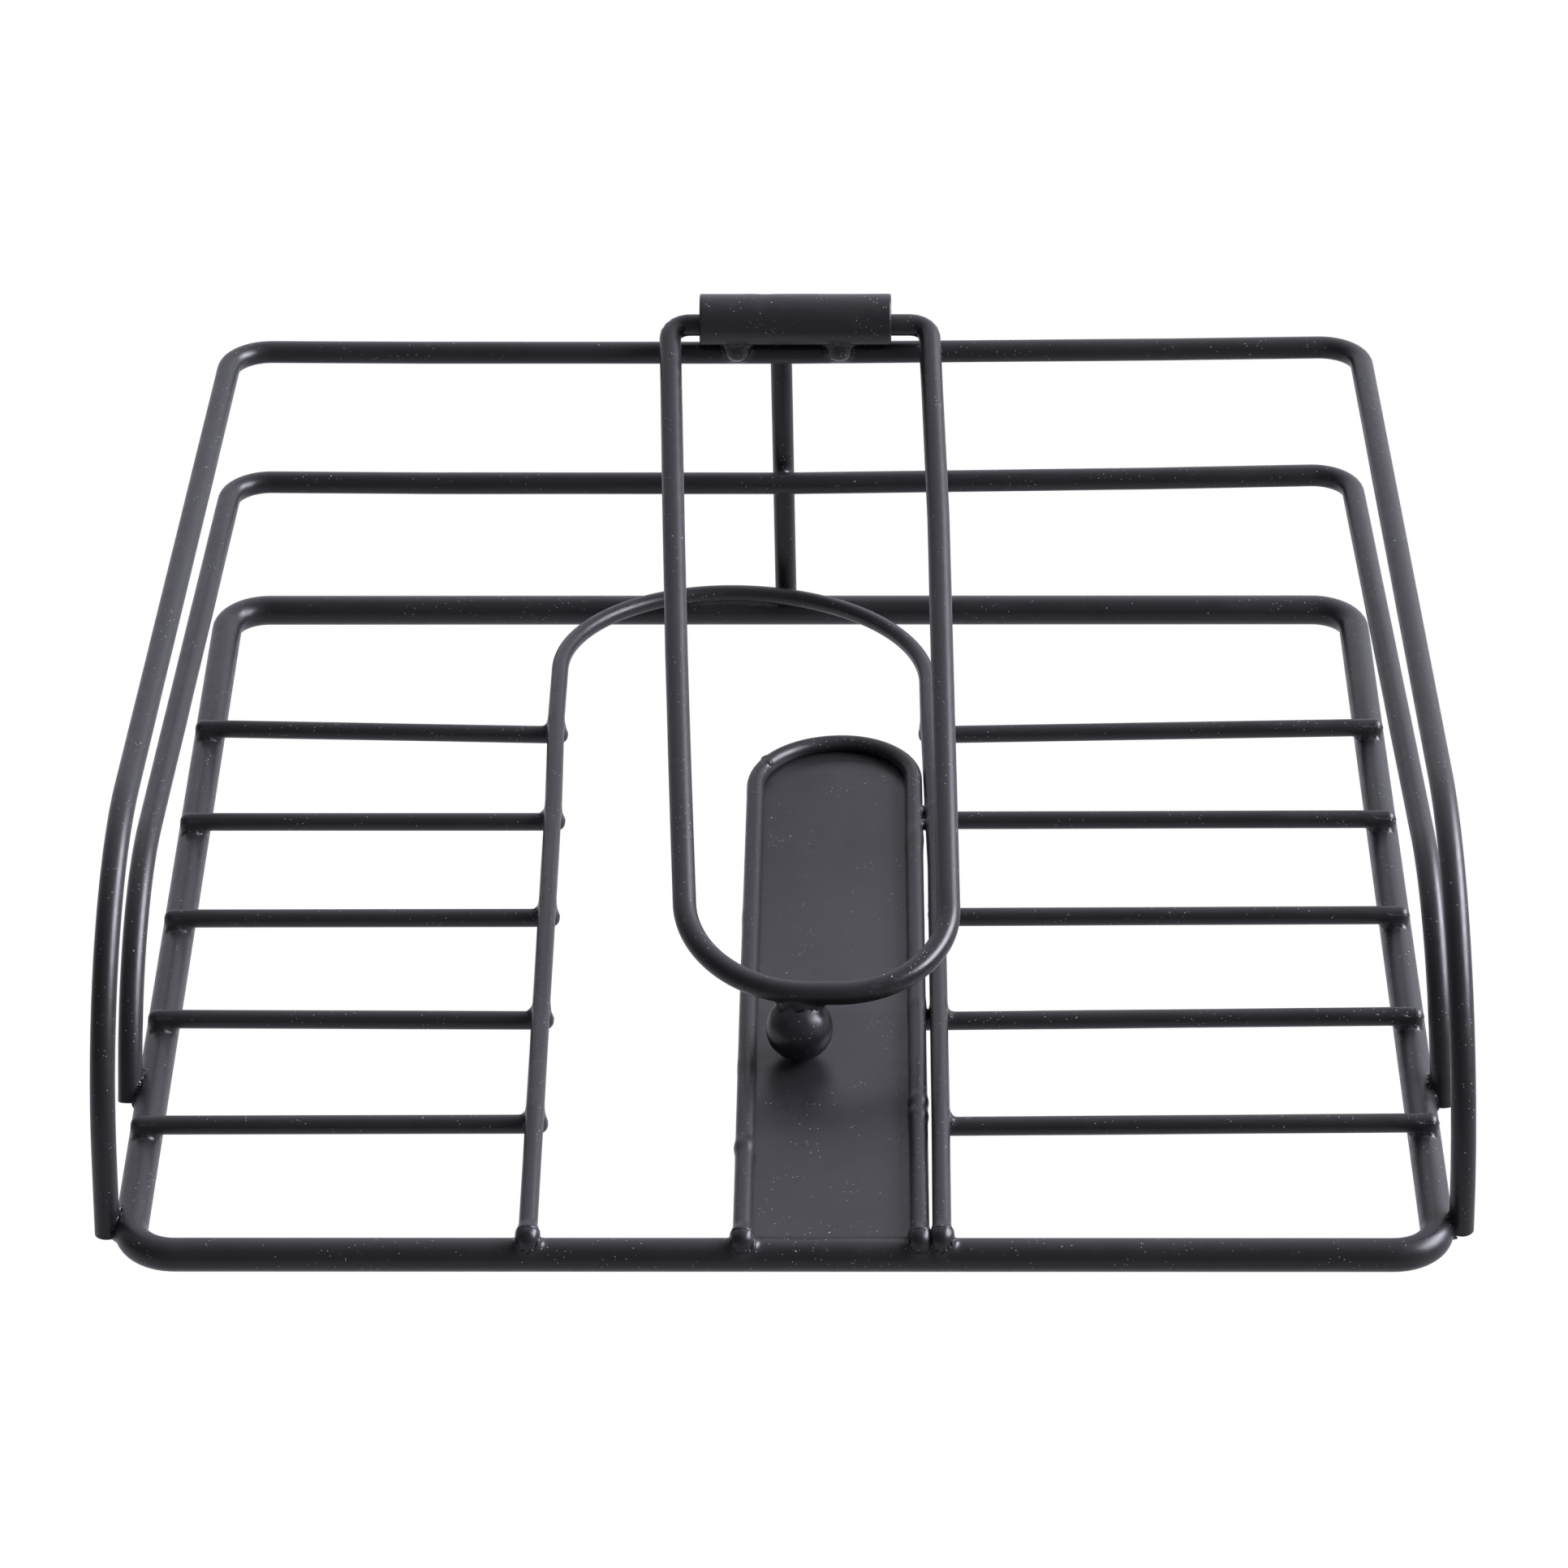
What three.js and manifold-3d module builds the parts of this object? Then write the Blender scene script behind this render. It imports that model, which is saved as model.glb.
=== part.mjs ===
// A steel-wire napkin holder: a square tray of welded wires with two wire guards
// around three sides, and a swing arm whose ball weight rests on a small pad.
// Millimetres, +Z up. Lengths "back" are measured from the front rail's centre line,
// heights from the table, and X runs to the right.

import * as THREE from 'three';
import { mergeVertices } from 'three/addons/utils/BufferGeometryUtils.js';
import Module from 'manifold-3d';

const wasm = await Module();
wasm.setup();

// ---- Driving dimensions -------------------------------------------------

// Wire diameters, coating included
const BASE_WIRE = 4.8;
const GUARD_WIRE = 3.6;
const SPINE_WIRE = 3.5;
const ARM_WIRE = 3.5;
const CROSS_WIRE = 2.8;
const LOOP_WIRE = 2.7;

// Wires meet at welds: one is notched round the other and this gap is left
const WELD_GAP = 0.2;

// Square base frame, along its centre line
const BASE_SIZE = 185.2;
const HALF_BASE = BASE_SIZE / 2;
const CORNER_BEND = 6.6;
const BASE_HEIGHT = BASE_WIRE / 2;

// How far two crossing wires sink into each other when they are welded
const SET_DOWN = 0.5;
const CROSS_HEIGHT = BASE_WIRE + CROSS_WIRE / 2 - SET_DOWN;
const LOOP_HEIGHT = CROSS_HEIGHT + CROSS_WIRE - SET_DOWN;

// Cross wires, front to back: distance back at the inner end and at the outer end
const LEFT_CROSS_WIRES = [[28.1, 27.8], [55.6, 56.0], [84.2, 84.0], [112.3, 112.3], [138.9, 141.0]];
const RIGHT_CROSS_WIRES = [[27.5, 28.5], [55.4, 56.8], [84.4, 85.0], [112.7, 113.1], [138.9, 141.3]];
const CROSS_OVERHANG = -0.3;
const LEFT_INNER_ENDS = [-34.1, -34.3, -34.6, -34.8, -35.1];
const RIGHT_INNER_ENDS = [21.4, 19.0, 21.4, 19.0, 20.6];

// Legs of the two U-shaped wires: [distance back, X] at each slight bend
const WIRE_END_BACK = -0.9;
const LOOP_FRONT_SUPPORT = 28;
const LOOP_BACK_SUPPORT = 140;
const PAD_SUPPORT = 56;

// Finger loop: an inverted U lying on the cross wires
const LOOP_LEFT = [
  [WIRE_END_BACK, -36.0], [LOOP_FRONT_SUPPORT, -36.0], [115, -36.45], [LOOP_BACK_SUPPORT, -36.95]];
const LOOP_RIGHT = [
  [WIRE_END_BACK, 22.3], [LOOP_FRONT_SUPPORT, 22.5], [95, 22.8], [LOOP_BACK_SUPPORT, 22.2]];
const LOOP_APEX = 184.5;
const LOOP_BENDS = [27.1, 32.0];
const LOOP_FRONT_HEIGHT = 5.9;
const LOOP_APEX_HEIGHT = 6.0;

// Landing pad: a thin plate inside a U of wire
const PAD_LEFT = [[WIRE_END_BACK, -5.8], [PAD_SUPPORT, -5.5], [115, -5.1]];
const PAD_RIGHT = [[WIRE_END_BACK, 19.25], [PAD_SUPPORT, 19.4], [115, 19.6]];
const PAD_APEX = 132.3;
const PAD_BENDS = [13.5, 11.0];
const PAD_FRONT_HEIGHT = 5.6;
const PLATE_THICKNESS = 0.9;
const PLATE_BELOW_RIM = 0.85;
const PLATE_FRONT = 0.4;

// Guards: height of the back rail at each side, half width at the back corner, the
// corner where the side bends down, and the foot that is welded to the base rail. The
// back rail sags a little towards its middle.
const GUARD_BACK = 185.6;
const GUARD_FOOT_HEIGHT = 1.1;
const UPPER_GUARD = {
  left: { corner: [-89.95, 50.1], bend: [-95.7, 12.2], foot: [-96.1, 6.7], radius: 40.7 },
  middle: { x: 0.9, height: 49.55, radius: 5900 },
  right: { corner: [91.8, 50.85], bend: [95.1, 6.9], foot: [96.1, 6.9], radius: 44.0 },
};
const MIDDLE_GUARD = {
  left: { corner: [-91.0, 26.25], bend: [-95.85, 54.0], foot: [-95.95, 40.6], radius: 39.0 },
  middle: { x: 0.2, height: 25.5, radius: 3900 },
  right: { corner: [91.35, 27.5], bend: [95.2, 48.4], foot: [96.1, 39.8], radius: 33.0 },
};

// Spine: one upright behind the three back rails
const SPINE_BACK = BASE_SIZE + (BASE_WIRE + SPINE_WIRE) / 2 + WELD_GAP;
const SPINE_FOOT = { x: -0.7, height: 0.8 };
const SPINE_TOP = { x: -1.4, height: 50.9 };

// Hinge tube on the top rail, and the wire that turns in it
const TUBE_DIAMETER = 8.3;
const TUBE_BORE = 6.2;
const TUBE_ENDS = [-14.4, 16.4];
const TUBE_BACK = 185.2;
const TUBE_HEIGHT = 56.08;
const PIVOT_DROP = 1.0;
const PIVOT_HEIGHT = TUBE_HEIGHT - PIVOT_DROP;

// Swing arm: a closed loop drawn in its own plane. Across is X, and along is the
// distance from the pivot line to the front.
const ARM_FRONT = { back: 44.35, height: 17.75 };
const ARM_CORNERS = [[-19.2, 0], [22.5, 0], [23.5, 45], [24.15, 1], [-14.2, 1], [-17.0, 0.52]];
const ARM_BENDS = [3.1, 3.1, 200, 16.4, 18.6, 5000];
const ARM_FRONT_CORNERS = 3;

// Ball weight under the front of the arm
const BALL_DIAMETER = 10.0;
const BALL_X = 2.1;
const BALL_REST_GAP = 0.12;

// Facets, and the distance under which two corners are one
const SIDES = 12;
const BEND_STEP = THREE.MathUtils.degToRad(18);
const FEWEST_BEND_STEPS = 2;
const SAME_POINT = 1e-4;

// The origin is the middle of the footprint, on the table
const FRONT_EDGE = -BASE_WIRE / 2;
const BACK_EDGE = SPINE_BACK + SPINE_WIRE / 2;
const MIDDLE_BACK = (FRONT_EDGE + BACK_EDGE) / 2;

// ---- Materials ----------------------------------------------------------

const powderCoat = () => new THREE.MeshStandardMaterial({
  color: 0x2a2a2e, roughness: 0.55, metalness: 0.0,
});
const plateCoat = () => new THREE.MeshStandardMaterial({
  color: 0x313236, roughness: 0.45, metalness: 0.0,
});

// ---- Wire geometry ------------------------------------------------------

/** A path through given stations, with frames carried along it without twist. */
class WirePath extends THREE.Curve {
  constructor(points, closed, reference) {
    super();
    this.points = points;
    this.closed = closed;
    this.reference = reference;
  }

  /** Number of stretches between stations. */
  get steps() {
    return this.closed ? this.points.length : this.points.length - 1;
  }

  getPoint(t, target = new THREE.Vector3()) {
    return target.copy(this.points[Math.round(t * this.steps) % this.points.length]);
  }

  getPointAt(u, target) {
    return this.getPoint(u, target);
  }

  /** Mean direction of the two stretches that meet at a station. */
  tangentAtStation(i) {
    const n = this.points.length;
    const here = this.points[i % n];
    const before = this.closed ? this.points[(i - 1 + n) % n] : this.points[Math.max(i - 1, 0)];
    const after = this.closed ? this.points[(i + 1) % n] : this.points[Math.min(i + 1, n - 1)];
    const arriving = here.clone().sub(before).normalize();
    const leaving = after.clone().sub(here).normalize();
    return arriving.add(leaving).normalize();
  }

  computeFrenetFrames() {
    const frames = { tangents: [], normals: [], binormals: [] };
    const facetTurn = Math.PI / SIDES;
    let carried = this.reference.clone();
    for (let i = 0; i <= this.steps; i++) {
      const tangent = this.tangentAtStation(i);
      carried = carried.clone().addScaledVector(tangent, -carried.dot(tangent)).normalize();
      const normal = carried.clone().applyAxisAngle(tangent, facetTurn);
      frames.tangents.push(tangent);
      frames.normals.push(normal);
      frames.binormals.push(tangent.clone().cross(normal));
    }
    return frames;
  }
}

/** Stations along a polyline whose corners are rounded to the given bend radii. */
function bentPath(corners, bends, closed = false) {
  const stations = [];
  const n = corners.length;
  corners.forEach((corner, i) => {
    const radius = bends[i];
    if (radius === 0 || (!closed && (i === 0 || i === n - 1))) {
      stations.push(corner.clone());
      return;
    }
    const arriving = corner.clone().sub(corners[(i - 1 + n) % n]).normalize();
    const leaving = corners[(i + 1) % n].clone().sub(corner).normalize();
    const turn = arriving.angleTo(leaving);
    const inward = leaving.clone().addScaledVector(arriving, -leaving.dot(arriving)).normalize();
    const centre = corner.clone()
      .addScaledVector(arriving, -radius * Math.tan(turn / 2))
      .addScaledVector(inward, radius);
    const steps = Math.max(FEWEST_BEND_STEPS, Math.ceil(turn / BEND_STEP));
    for (let k = 0; k <= steps; k++) {
      const angle = turn * k / steps;
      stations.push(centre.clone()
        .addScaledVector(inward, -radius * Math.cos(angle))
        .addScaledVector(arriving, radius * Math.sin(angle)));
    }
  });
  return stations;
}

/** A wire whose flats, not its edges, stand at the wire's true radius. */
function wireGeometry({ points, diameter, closed = false, reference }, growth = 0) {
  const radius = (diameter / 2 + growth) / Math.cos(Math.PI / SIDES);
  const path = new WirePath(points, closed, reference ?? new THREE.Vector3(0, 0, 1));
  if (closed) {
    return new THREE.TubeGeometry(path, path.steps, radius, SIDES, true);
  }
  const section = new THREE.Shape();
  for (let i = 0; i < SIDES; i++) {
    const angle = 2 * Math.PI * i / SIDES;
    const place = [radius * Math.cos(angle), radius * Math.sin(angle)];
    if (i === 0) section.moveTo(...place);
    else section.lineTo(...place);
  }
  section.closePath();
  return new THREE.ExtrudeGeometry(section, {
    steps: path.steps, extrudePath: path, bevelEnabled: false,
  });
}

// ---- Solids -------------------------------------------------------------

/** A manifold solid made from a closed geometry. */
function toSolid(geometry) {
  const bare = geometry.clone();
  bare.deleteAttribute('normal');
  bare.deleteAttribute('uv');
  const merged = mergeVertices(bare, SAME_POINT);
  return new wasm.Manifold(new wasm.Mesh({
    numProp: 3,
    vertProperties: new Float32Array(merged.attributes.position.array),
    triVerts: new Uint32Array(merged.index.array),
  }));
}

/** A geometry made from a manifold solid. */
function toGeometry(solid) {
  const mesh = solid.getMesh();
  const geometry = new THREE.BufferGeometry();
  geometry.setAttribute('position', new THREE.BufferAttribute(mesh.vertProperties, 3));
  geometry.setIndex(new THREE.BufferAttribute(mesh.triVerts, 1));
  return geometry;
}

/** The solid cut back so that it clears each neighbouring wire by the weld gap. */
function notched(solid, neighbours) {
  return neighbours.reduce(
    (left, wire) => left.subtract(toSolid(wireGeometry(wire, WELD_GAP))), solid);
}

const assembly = new THREE.Group();
assembly.position.y = -MIDDLE_BACK;

/** Adds a named part to the assembly. */
function addPart(name, solid, material = powderCoat()) {
  const mesh = new THREE.Mesh(toGeometry(solid), material);
  mesh.name = name;
  assembly.add(mesh);
}

/** Adds a wire, notched round the wires that it is welded to. */
function addWire(name, wire, neighbours = []) {
  addPart(name, notched(toSolid(wireGeometry(wire)), neighbours));
}

// ---- Tray ---------------------------------------------------------------

function baseFrame() {
  const corners = [
    new THREE.Vector3(-HALF_BASE, 0, BASE_HEIGHT),
    new THREE.Vector3(HALF_BASE, 0, BASE_HEIGHT),
    new THREE.Vector3(HALF_BASE, BASE_SIZE, BASE_HEIGHT),
    new THREE.Vector3(-HALF_BASE, BASE_SIZE, BASE_HEIGHT),
  ];
  const bends = corners.map(() => CORNER_BEND);
  return { points: bentPath(corners, bends, true), diameter: BASE_WIRE, closed: true };
}

function crossWire(side, innerX, [innerBack, outerBack]) {
  const outerX = side * (HALF_BASE + BASE_WIRE / 2 + CROSS_OVERHANG);
  return {
    points: [
      new THREE.Vector3(innerX, innerBack, CROSS_HEIGHT),
      new THREE.Vector3(outerX, outerBack, CROSS_HEIGHT),
    ],
    diameter: CROSS_WIRE,
  };
}

/** Stations of an inverted U, flat in plan: up the left leg, round, down the right. */
function loopPlan(left, right, apex, bends) {
  const leftX = left.at(-1)[1];
  const rightX = right.at(-1)[1];
  const leftLeg = left.map(([back, x]) => new THREE.Vector3(x, back, 0));
  const rightLeg = right.map(([back, x]) => new THREE.Vector3(x, back, 0)).reverse();
  const round = [new THREE.Vector3(leftX, apex, 0), new THREE.Vector3(rightX, apex, 0)];
  const allBends = [...leftLeg.map(() => 0), ...bends, ...rightLeg.map(() => 0)];
  return bentPath([...leftLeg, ...round, ...rightLeg], allBends);
}

/** A U-shaped wire lying on the tray, its height set by how far back it is. */
function layingLoop(left, right, apex, bends, heightAt) {
  const points = loopPlan(left, right, apex, bends);
  points.forEach((point) => { point.z = heightAt(point.y); });
  return { points, diameter: LOOP_WIRE };
}

function fingerLoopHeight(back) {
  const front = THREE.MathUtils.clamp(back / LOOP_FRONT_SUPPORT, 0, 1);
  const rear = THREE.MathUtils.clamp(
    (back - LOOP_BACK_SUPPORT) / (LOOP_APEX - LOOP_BACK_SUPPORT), 0, 1);
  return LOOP_HEIGHT - (1 - front) * (LOOP_HEIGHT - LOOP_FRONT_HEIGHT)
    - rear * (LOOP_HEIGHT - LOOP_APEX_HEIGHT);
}

function padRimHeight(back) {
  return THREE.MathUtils.lerp(
    PAD_FRONT_HEIGHT, LOOP_HEIGHT, THREE.MathUtils.clamp(back / PAD_SUPPORT, 0, 1));
}

/** The pad's plate: its outline seen from above, where its bent side profile runs. */
function padPlate() {
  const plan = loopPlan(PAD_LEFT, PAD_RIGHT, PAD_APEX, PAD_BENDS).reverse();
  const outline = new THREE.Shape(
    plan.map(({ x, y }) => new THREE.Vector2(x, Math.max(y, PLATE_FRONT))));
  const tall = new THREE.ExtrudeGeometry(outline, {
    depth: ARM_FRONT.height, bevelEnabled: false,
  });

  const top = (back) => padRimHeight(back) - PLATE_BELOW_RIM;
  const stations = [0, PAD_SUPPORT, PAD_APEX];
  const profile = new THREE.Shape();
  stations.forEach((back, i) => {
    if (i === 0) profile.moveTo(back, top(back));
    else profile.lineTo(back, top(back));
  });
  [...stations].reverse().forEach((back) => profile.lineTo(back, top(back) - PLATE_THICKNESS));
  profile.closePath();
  const wide = new THREE.ExtrudeGeometry(profile, {
    depth: BASE_SIZE, bevelEnabled: false,
  });
  // The profile is drawn in (back, height): the same turn carries it onto Y and Z
  wide.applyMatrix4(new THREE.Matrix4().makeBasis(
    new THREE.Vector3(0, 1, 0), new THREE.Vector3(0, 0, 1), new THREE.Vector3(1, 0, 0)));
  wide.translate(-HALF_BASE, 0, 0);
  return toSolid(tall).intersect(toSolid(wide));
}

// ---- Guards and spine ---------------------------------------------------

function guard({ left, middle, right }) {
  const foot = (side) => new THREE.Vector3(side.foot[0], side.foot[1], GUARD_FOOT_HEIGHT);
  const bend = (side) => new THREE.Vector3(side.bend[0], side.bend[1], side.corner[1]);
  const corner = (side) => new THREE.Vector3(side.corner[0], GUARD_BACK, side.corner[1]);
  const sag = new THREE.Vector3(middle.x, GUARD_BACK, middle.height);
  const corners = [
    foot(left), bend(left), corner(left), sag, corner(right), bend(right), foot(right)];
  const bends = [0, left.radius, CORNER_BEND, middle.radius, CORNER_BEND, right.radius, 0];
  return {
    points: bentPath(corners, bends), diameter: GUARD_WIRE, reference: new THREE.Vector3(1, 0, 0),
  };
}

function spineRod() {
  return {
    points: [
      new THREE.Vector3(SPINE_FOOT.x, SPINE_BACK, SPINE_FOOT.height),
      new THREE.Vector3(SPINE_TOP.x, SPINE_BACK, SPINE_TOP.height),
    ],
    diameter: SPINE_WIRE,
    reference: new THREE.Vector3(1, 0, 0),
  };
}

// ---- Hinge, arm and ball ------------------------------------------------

/** The tube: a ring section turned about its axis, then laid along X. */
function hingeTube() {
  const [start, end] = TUBE_ENDS;
  const outer = TUBE_DIAMETER / 2 / Math.cos(Math.PI / (2 * SIDES));
  const bore = TUBE_BORE / 2;
  const ring = [[bore, start], [outer, start], [outer, end], [bore, end], [bore, start]];
  const tube = new THREE.LatheGeometry(
    ring.map(([radius, along]) => new THREE.Vector2(radius, along)), 2 * SIDES);
  tube.rotateZ(-Math.PI / 2);
  tube.translate(0, TUBE_BACK, TUBE_HEIGHT);
  return toSolid(tube);
}

function armLoop() {
  const down = new THREE.Vector3(
    0, ARM_FRONT.back - TUBE_BACK, ARM_FRONT.height - PIVOT_HEIGHT);
  const length = down.length();
  down.normalize();
  const corners = ARM_CORNERS.map(([across, along], i) => (
    new THREE.Vector3(across, TUBE_BACK, PIVOT_HEIGHT)
      .addScaledVector(down, i < ARM_FRONT_CORNERS ? along : along * length)));
  return {
    points: bentPath(corners, ARM_BENDS, true),
    diameter: ARM_WIRE,
    closed: true,
    reference: new THREE.Vector3(1, 0, 0).cross(down),
  };
}

/** The ball stands on the plate, so its height follows from the plate's. */
function ballWeight() {
  const radius = BALL_DIAMETER / 2;
  const back = ARM_FRONT.back;
  const height = padRimHeight(back) - PLATE_BELOW_RIM + radius + BALL_REST_GAP;
  const ball = new THREE.SphereGeometry(radius, 2 * SIDES, SIDES);
  ball.rotateX(Math.PI / 2);
  ball.translate(BALL_X, back, height);
  return toSolid(ball);
}

// ---- Assembly -----------------------------------------------------------

const base = baseFrame();
const leftWires = LEFT_CROSS_WIRES.map((ends, i) => crossWire(-1, LEFT_INNER_ENDS[i], ends));
const rightWires = RIGHT_CROSS_WIRES.map((ends, i) => crossWire(1, RIGHT_INNER_ENDS[i], ends));
const fingerLoop = layingLoop(LOOP_LEFT, LOOP_RIGHT, LOOP_APEX, LOOP_BENDS, fingerLoopHeight);
const padRim = layingLoop(PAD_LEFT, PAD_RIGHT, PAD_APEX, PAD_BENDS, padRimHeight);
const arm = armLoop();

addWire('base_frame', base);
leftWires.forEach((wire, i) => addWire(`cross_wire_left_${i + 1}`, wire, [base]));
rightWires.forEach((wire, i) => addWire(`cross_wire_right_${i + 1}`, wire, [base]));
addWire('finger_loop', fingerLoop, [base, ...leftWires, ...rightWires]);
addWire('pad_rim', padRim, [base, ...rightWires]);
addPart('pad_plate', notched(padPlate(), [base, padRim, ...rightWires]), plateCoat());
addWire('upper_guard', guard(UPPER_GUARD), [base]);
addWire('middle_guard', guard(MIDDLE_GUARD), [base]);
addWire('spine_rod', spineRod());
addPart('hinge_tube', hingeTube());
addWire('arm_loop', arm);
addPart('ball_weight', notched(ballWeight(), [arm]));

export default assembly;
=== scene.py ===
"""Looks of a wire napkin holder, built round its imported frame.

Every wire is a round skin carried along the wire's centre line. Where two wires are
welded, both skins are pushed out until they lie on one smooth surface round the pair,
which gives the fillet of the weld. Lengths in the classes are in millimetres, "back" is
measured from the centre line of the front rail, and heights are from the table.
"""

from __future__ import annotations

import logging
import math
from dataclasses import dataclass, field
from enum import Enum

import bmesh
import bpy
import numpy as np
from mathutils import Matrix, Vector

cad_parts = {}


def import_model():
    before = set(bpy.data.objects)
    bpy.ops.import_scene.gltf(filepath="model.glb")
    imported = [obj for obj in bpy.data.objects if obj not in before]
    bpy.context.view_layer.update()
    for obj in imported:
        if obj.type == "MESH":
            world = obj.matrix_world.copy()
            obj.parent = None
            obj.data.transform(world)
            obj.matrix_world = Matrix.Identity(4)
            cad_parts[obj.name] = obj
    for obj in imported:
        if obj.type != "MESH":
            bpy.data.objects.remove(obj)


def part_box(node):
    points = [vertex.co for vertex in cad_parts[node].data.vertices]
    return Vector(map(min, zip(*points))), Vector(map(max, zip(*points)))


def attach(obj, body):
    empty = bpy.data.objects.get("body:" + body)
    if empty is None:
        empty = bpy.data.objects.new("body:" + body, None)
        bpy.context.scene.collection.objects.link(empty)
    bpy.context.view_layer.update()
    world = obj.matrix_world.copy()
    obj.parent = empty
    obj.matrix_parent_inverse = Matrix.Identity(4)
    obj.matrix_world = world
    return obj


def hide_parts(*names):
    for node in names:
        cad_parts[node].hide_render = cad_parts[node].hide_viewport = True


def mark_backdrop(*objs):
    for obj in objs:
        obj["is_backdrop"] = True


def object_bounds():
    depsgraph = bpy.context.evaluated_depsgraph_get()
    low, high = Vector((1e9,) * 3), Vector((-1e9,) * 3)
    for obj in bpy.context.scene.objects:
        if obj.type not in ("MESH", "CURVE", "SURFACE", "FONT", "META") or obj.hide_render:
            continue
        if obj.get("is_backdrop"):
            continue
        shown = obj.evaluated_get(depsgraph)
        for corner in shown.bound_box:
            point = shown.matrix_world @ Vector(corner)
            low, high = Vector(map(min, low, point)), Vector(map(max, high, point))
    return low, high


MM = 0.001
LOG = logging.getLogger("napkin_holder")
UP = np.array([0.0, 0.0, 1.0])
TWIST_REFERENCE = np.array([0.48, 0.62, 0.62])
LINE_SPACING = 0.4
FINE_RINGS, COARSE_RINGS, CROWD_REACH = 0.16, 0.9, 3.2
END_RINGS = 12
RING_CLEARANCE = 0.02
TANGENT_REACH = 0.35
PUSH_STEPS = 14
HIDDEN_DEPTH = 0.03
NOT_FAR = 40.0

# Welds, each as its blend and its lumpiness in mm.
CROSS_TO_RAIL = (1.5, 0.05)
CROSS_TO_LOOP = (1.5, 0.09)
LOOP_TO_RAIL = (1.7, 0.07)
APEX_TO_RAIL = (1.2, 0.04)
RIM_TO_RAIL = (1.7, 0.08)
RIM_TO_CROSS = (1.2, 0.08)
FOOT_TO_RAIL = (0.45, 0.0)
SPINE_TO_RAIL = (1.6, 0.06)
BALL_TO_ARM = (1.3, 0.08)
BEAD_LUMP = 0.04

Array = np.ndarray
Object = bpy.types.Object
Material = bpy.types.Material
Socket = bpy.types.NodeSocket
Pairs = tuple[tuple[float, float], ...]


# ---- Vectors and smooth random fields -----------------------------------


def unit(vectors: Array) -> Array:
    """Vectors divided by their own lengths."""
    return vectors / np.maximum(np.linalg.norm(vectors, axis=-1, keepdims=True), 1e-12)


def turns(count: int) -> Array:
    """Angles of evenly spaced points round a circle."""
    return np.linspace(0.0, 2.0 * math.pi, count, endpoint=False)


def smoothstep(low: float, high: float, x: Array) -> Array:
    """A rise from 0 at low to 1 at high, level at both ends: 3t^2 - 2t^3."""
    t = np.clip((x - low) / (high - low), 0.0, 1.0)
    return t * t * (3.0 - 2.0 * t)


def ripple(points: Array, wavelength: float, seed: int) -> Array:
    """A smooth random field from about -1 to 1.

    It is the mean of sine waves of nearly one wavelength that run in random directions.

    Args:
        points: places, in mm, one row each.
        wavelength: distance between crests, in mm.
        seed: picks the directions and phases.

    Returns:
        One value for each place.
    """
    random = np.random.default_rng(seed)
    waves, gain = 7, 1.6
    directions = unit(random.normal(size=(waves, 3)))
    lengths = wavelength * random.uniform(0.75, 1.35, waves)
    phases = random.uniform(0.0, 2.0 * math.pi, waves)
    angles = points @ (directions.T * (2.0 * math.pi / lengths)) + phases
    return np.sin(angles).sum(axis=1) * gain / waves


# ---- Centre lines -------------------------------------------------------


def bent_path(corners: Array, bends: list[float], closed: bool = False) -> Array:
    """Polyline whose corners are rounded to the given bend radii.

    Each corner gives way to the arc that touches both of its stretches: the arc's centre
    is one radius inward from the point where it leaves the first stretch.

    Args:
        corners: the corner points, in mm, one row each.
        bends: bend radius at each corner, or 0 for a sharp one.
        closed: whether the last corner joins the first.

    Returns:
        The points of the rounded line.
    """
    arc_step = math.radians(1.5)
    count = len(corners)
    line: list[Array] = []
    for i, (corner, radius) in enumerate(zip(corners, bends)):
        if radius == 0 or (not closed and i in (0, count - 1)):
            line.append(corner[None, :])
            continue
        arriving = unit(corner - corners[i - 1])
        leaving = unit(corners[(i + 1) % count] - corner)
        turn = math.acos(float(np.clip(arriving @ leaving, -1.0, 1.0)))
        inward = unit(leaving - arriving * (leaving @ arriving))
        centre = corner - arriving * radius * math.tan(turn / 2.0) + inward * radius
        angle = np.linspace(0.0, turn, max(3, math.ceil(turn / arc_step)))[:, None]
        line.append(centre + radius * (arriving * np.sin(angle) - inward * np.cos(angle)))
    return np.concatenate(line)


def along(line: Array) -> Array:
    """Distance from the start of a line to each of its points."""
    steps = np.linalg.norm(np.diff(line, axis=0), axis=1)
    return np.concatenate([[0.0], np.cumsum(steps)])


def at_distances(line: Array, distances: Array) -> Array:
    """Points at the given distances along a line, by linear interpolation."""
    measured = along(line)
    return np.stack([np.interp(distances, measured, line[:, k]) for k in range(3)], axis=1)


def even(line: Array, spacing: float) -> Array:
    """The same line with a point at every spacing."""
    length = along(line)[-1]
    return at_distances(line, np.linspace(0.0, length, max(2, round(length / spacing) + 1)))


def crowded(length: float, busy: Array, fine: float, coarse: float, reach: float) -> Array:
    """Places along a wire that crowd together near its busy places.

    The spacing is fine within reach of a busy place and grows to coarse at three times
    that. Places are equal steps of the integral of one over the spacing.

    Args:
        length: length of the wire.
        busy: distances along the wire of the busy places.
        fine: smallest spacing.
        coarse: largest spacing.
        reach: how far from a busy place the smallest spacing holds.

    Returns:
        Rising distances from 0 to length.
    """
    samples = np.linspace(0.0, length, 6000)
    nearest = np.abs(samples[:, None] - busy[None, :]).min(axis=1, initial=9.0 * reach)
    spacing = fine + (coarse - fine) * smoothstep(reach, 3.0 * reach, nearest)
    steps = np.diff(samples) * 2.0 / (spacing[1:] + spacing[:-1])
    total = np.concatenate([[0.0], np.cumsum(steps)])
    wanted = np.linspace(0.0, total[-1], math.ceil(total[-1]) + 1)
    return np.interp(wanted, total, samples)


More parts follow.
